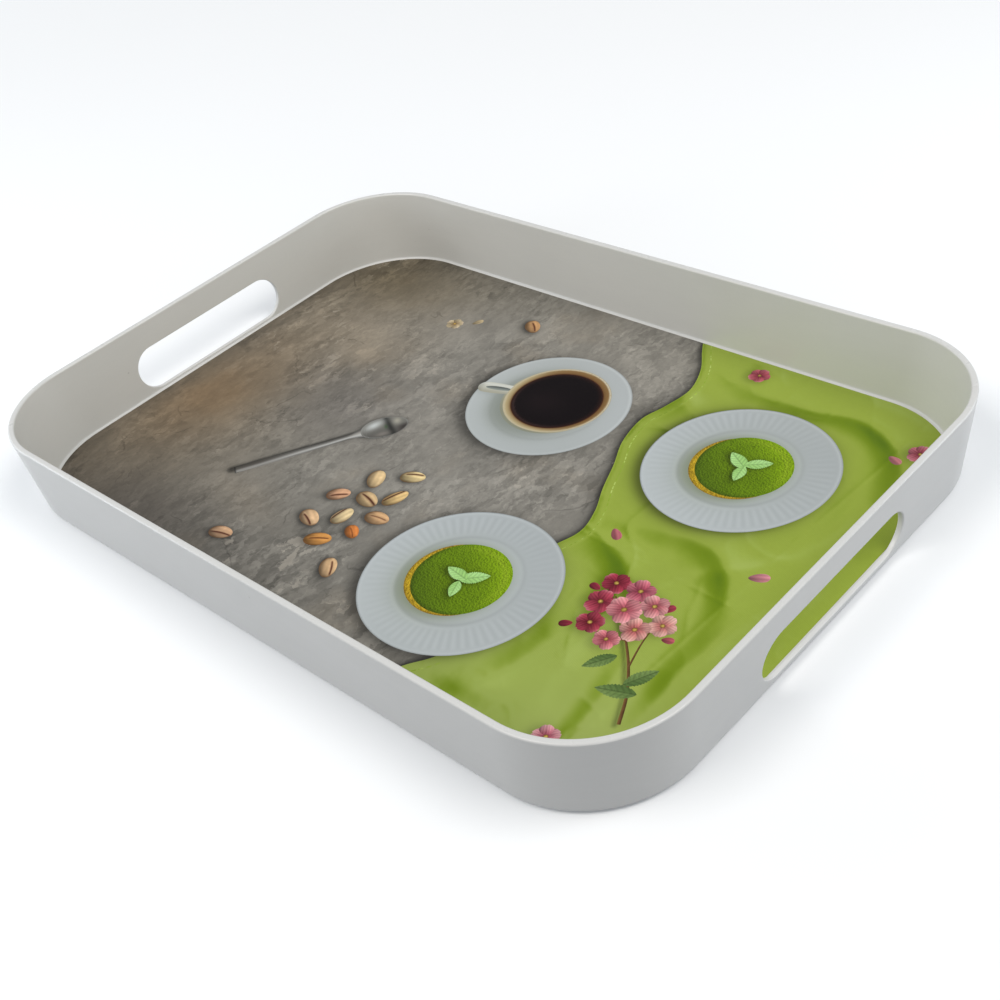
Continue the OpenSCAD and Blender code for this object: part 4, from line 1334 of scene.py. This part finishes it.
# ================================================================ floor, light, camera
me = bpy.data.meshes.new("floor")
me.from_pydata([(-6, -6, 0), (6, -6, 0), (6, 6, 0), (-6, 6, 0)], [], [(0, 1, 2, 3)])
floor = bpy.data.objects.new("floor", me)
scene.collection.objects.link(floor)
floor.data.materials.append(mat_floor())
# light thrown up by a white floor made the outer walls far too bright, so the floor shows but throws none
floor.visible_diffuse = False

w = bpy.data.worlds.new("studio"); scene.world = w
w.use_nodes = True
w.node_tree.nodes["Background"].inputs[0].default_value = (0.90, 0.95, 1.0, 1)
w.node_tree.nodes["Background"].inputs[1].default_value = 0.36


def area(name, loc, target, size, power, col=(1, 1, 1), size_y=None):
    d = bpy.data.lights.new(name, "AREA")
    d.energy = power; d.color = col; d.size = size
    if size_y:
        d.shape = "RECTANGLE"; d.size_y = size_y
    o = bpy.data.objects.new(name, d)
    o.location = loc
    v = Vector(target) - Vector(loc)
    o.rotation_euler = v.to_track_quat("-Z", "Y").to_euler()
    scene.collection.objects.link(o)
    return o


def sky_point(az, el, dist):
    """A point by azimuth (0 is -Y, 90 is +X), elevation and distance from the tray's middle."""
    a, e = math.radians(az), math.radians(el)
    return (dist * math.sin(a) * math.cos(e), -dist * math.cos(a) * math.cos(e), dist * math.sin(e))


area("right box", sky_point(113, 57, 5.0), (0, 0, 0), 2.6, 112, (1.0, 0.978, 0.94))
area("left box", sky_point(-23, 57, 5.0), (0, 0, 0), 2.6, 98, (1.0, 0.972, 0.93))
area("back strip", sky_point(-82, 24, 2.6), (0, 0, 0), 1.1, 8, (0.86, 0.93, 1.0))
area("front fill", sky_point(50, 18, 3.0), (0, 0, 0), 1.6, 8.5, (1.0, 0.985, 0.97)).visible_camera = False
for name, loc, aim in (("left kicker", (-0.60, -0.50, 0.17), (-0.17, -0.12, 0.03)), ("right kicker", (0.58, 0.56, 0.17), (0.20, 0.10, 0.03))):
    area(name, loc, aim, 0.30, 1.25, (0.84, 0.92, 1.0)).visible_camera = False

# the photograph's viewing angle: azimuth, elevation and roll, with the lens that goes with them
AZ, EL, ROLL = math.radians(50.0615), math.radians(37.7040), math.radians(-12.1145)
back = Vector((math.sin(AZ) * math.cos(EL), -math.cos(AZ) * math.cos(EL), math.sin(EL)))
right = Vector((math.cos(AZ), math.sin(AZ), 0.0))
up = back.cross(right)
r2 = right * math.cos(ROLL) + up * math.sin(ROLL)
u2 = -right * math.sin(ROLL) + up * math.cos(ROLL)
cam_d = bpy.data.cameras.new("camera")
cam_d.sensor_width = 36.0
cam_d.lens = 50.843
cam_d.clip_start = 0.01
cam = bpy.data.objects.new("camera", cam_d)
scene.collection.objects.link(cam)
M = Matrix((r2, u2, back)).transposed().to_4x4()
M.translation = Vector((0.468371, -0.377497, 0.438868))
cam.matrix_world = M
scene.camera = cam

bpy.context.view_layer.update()
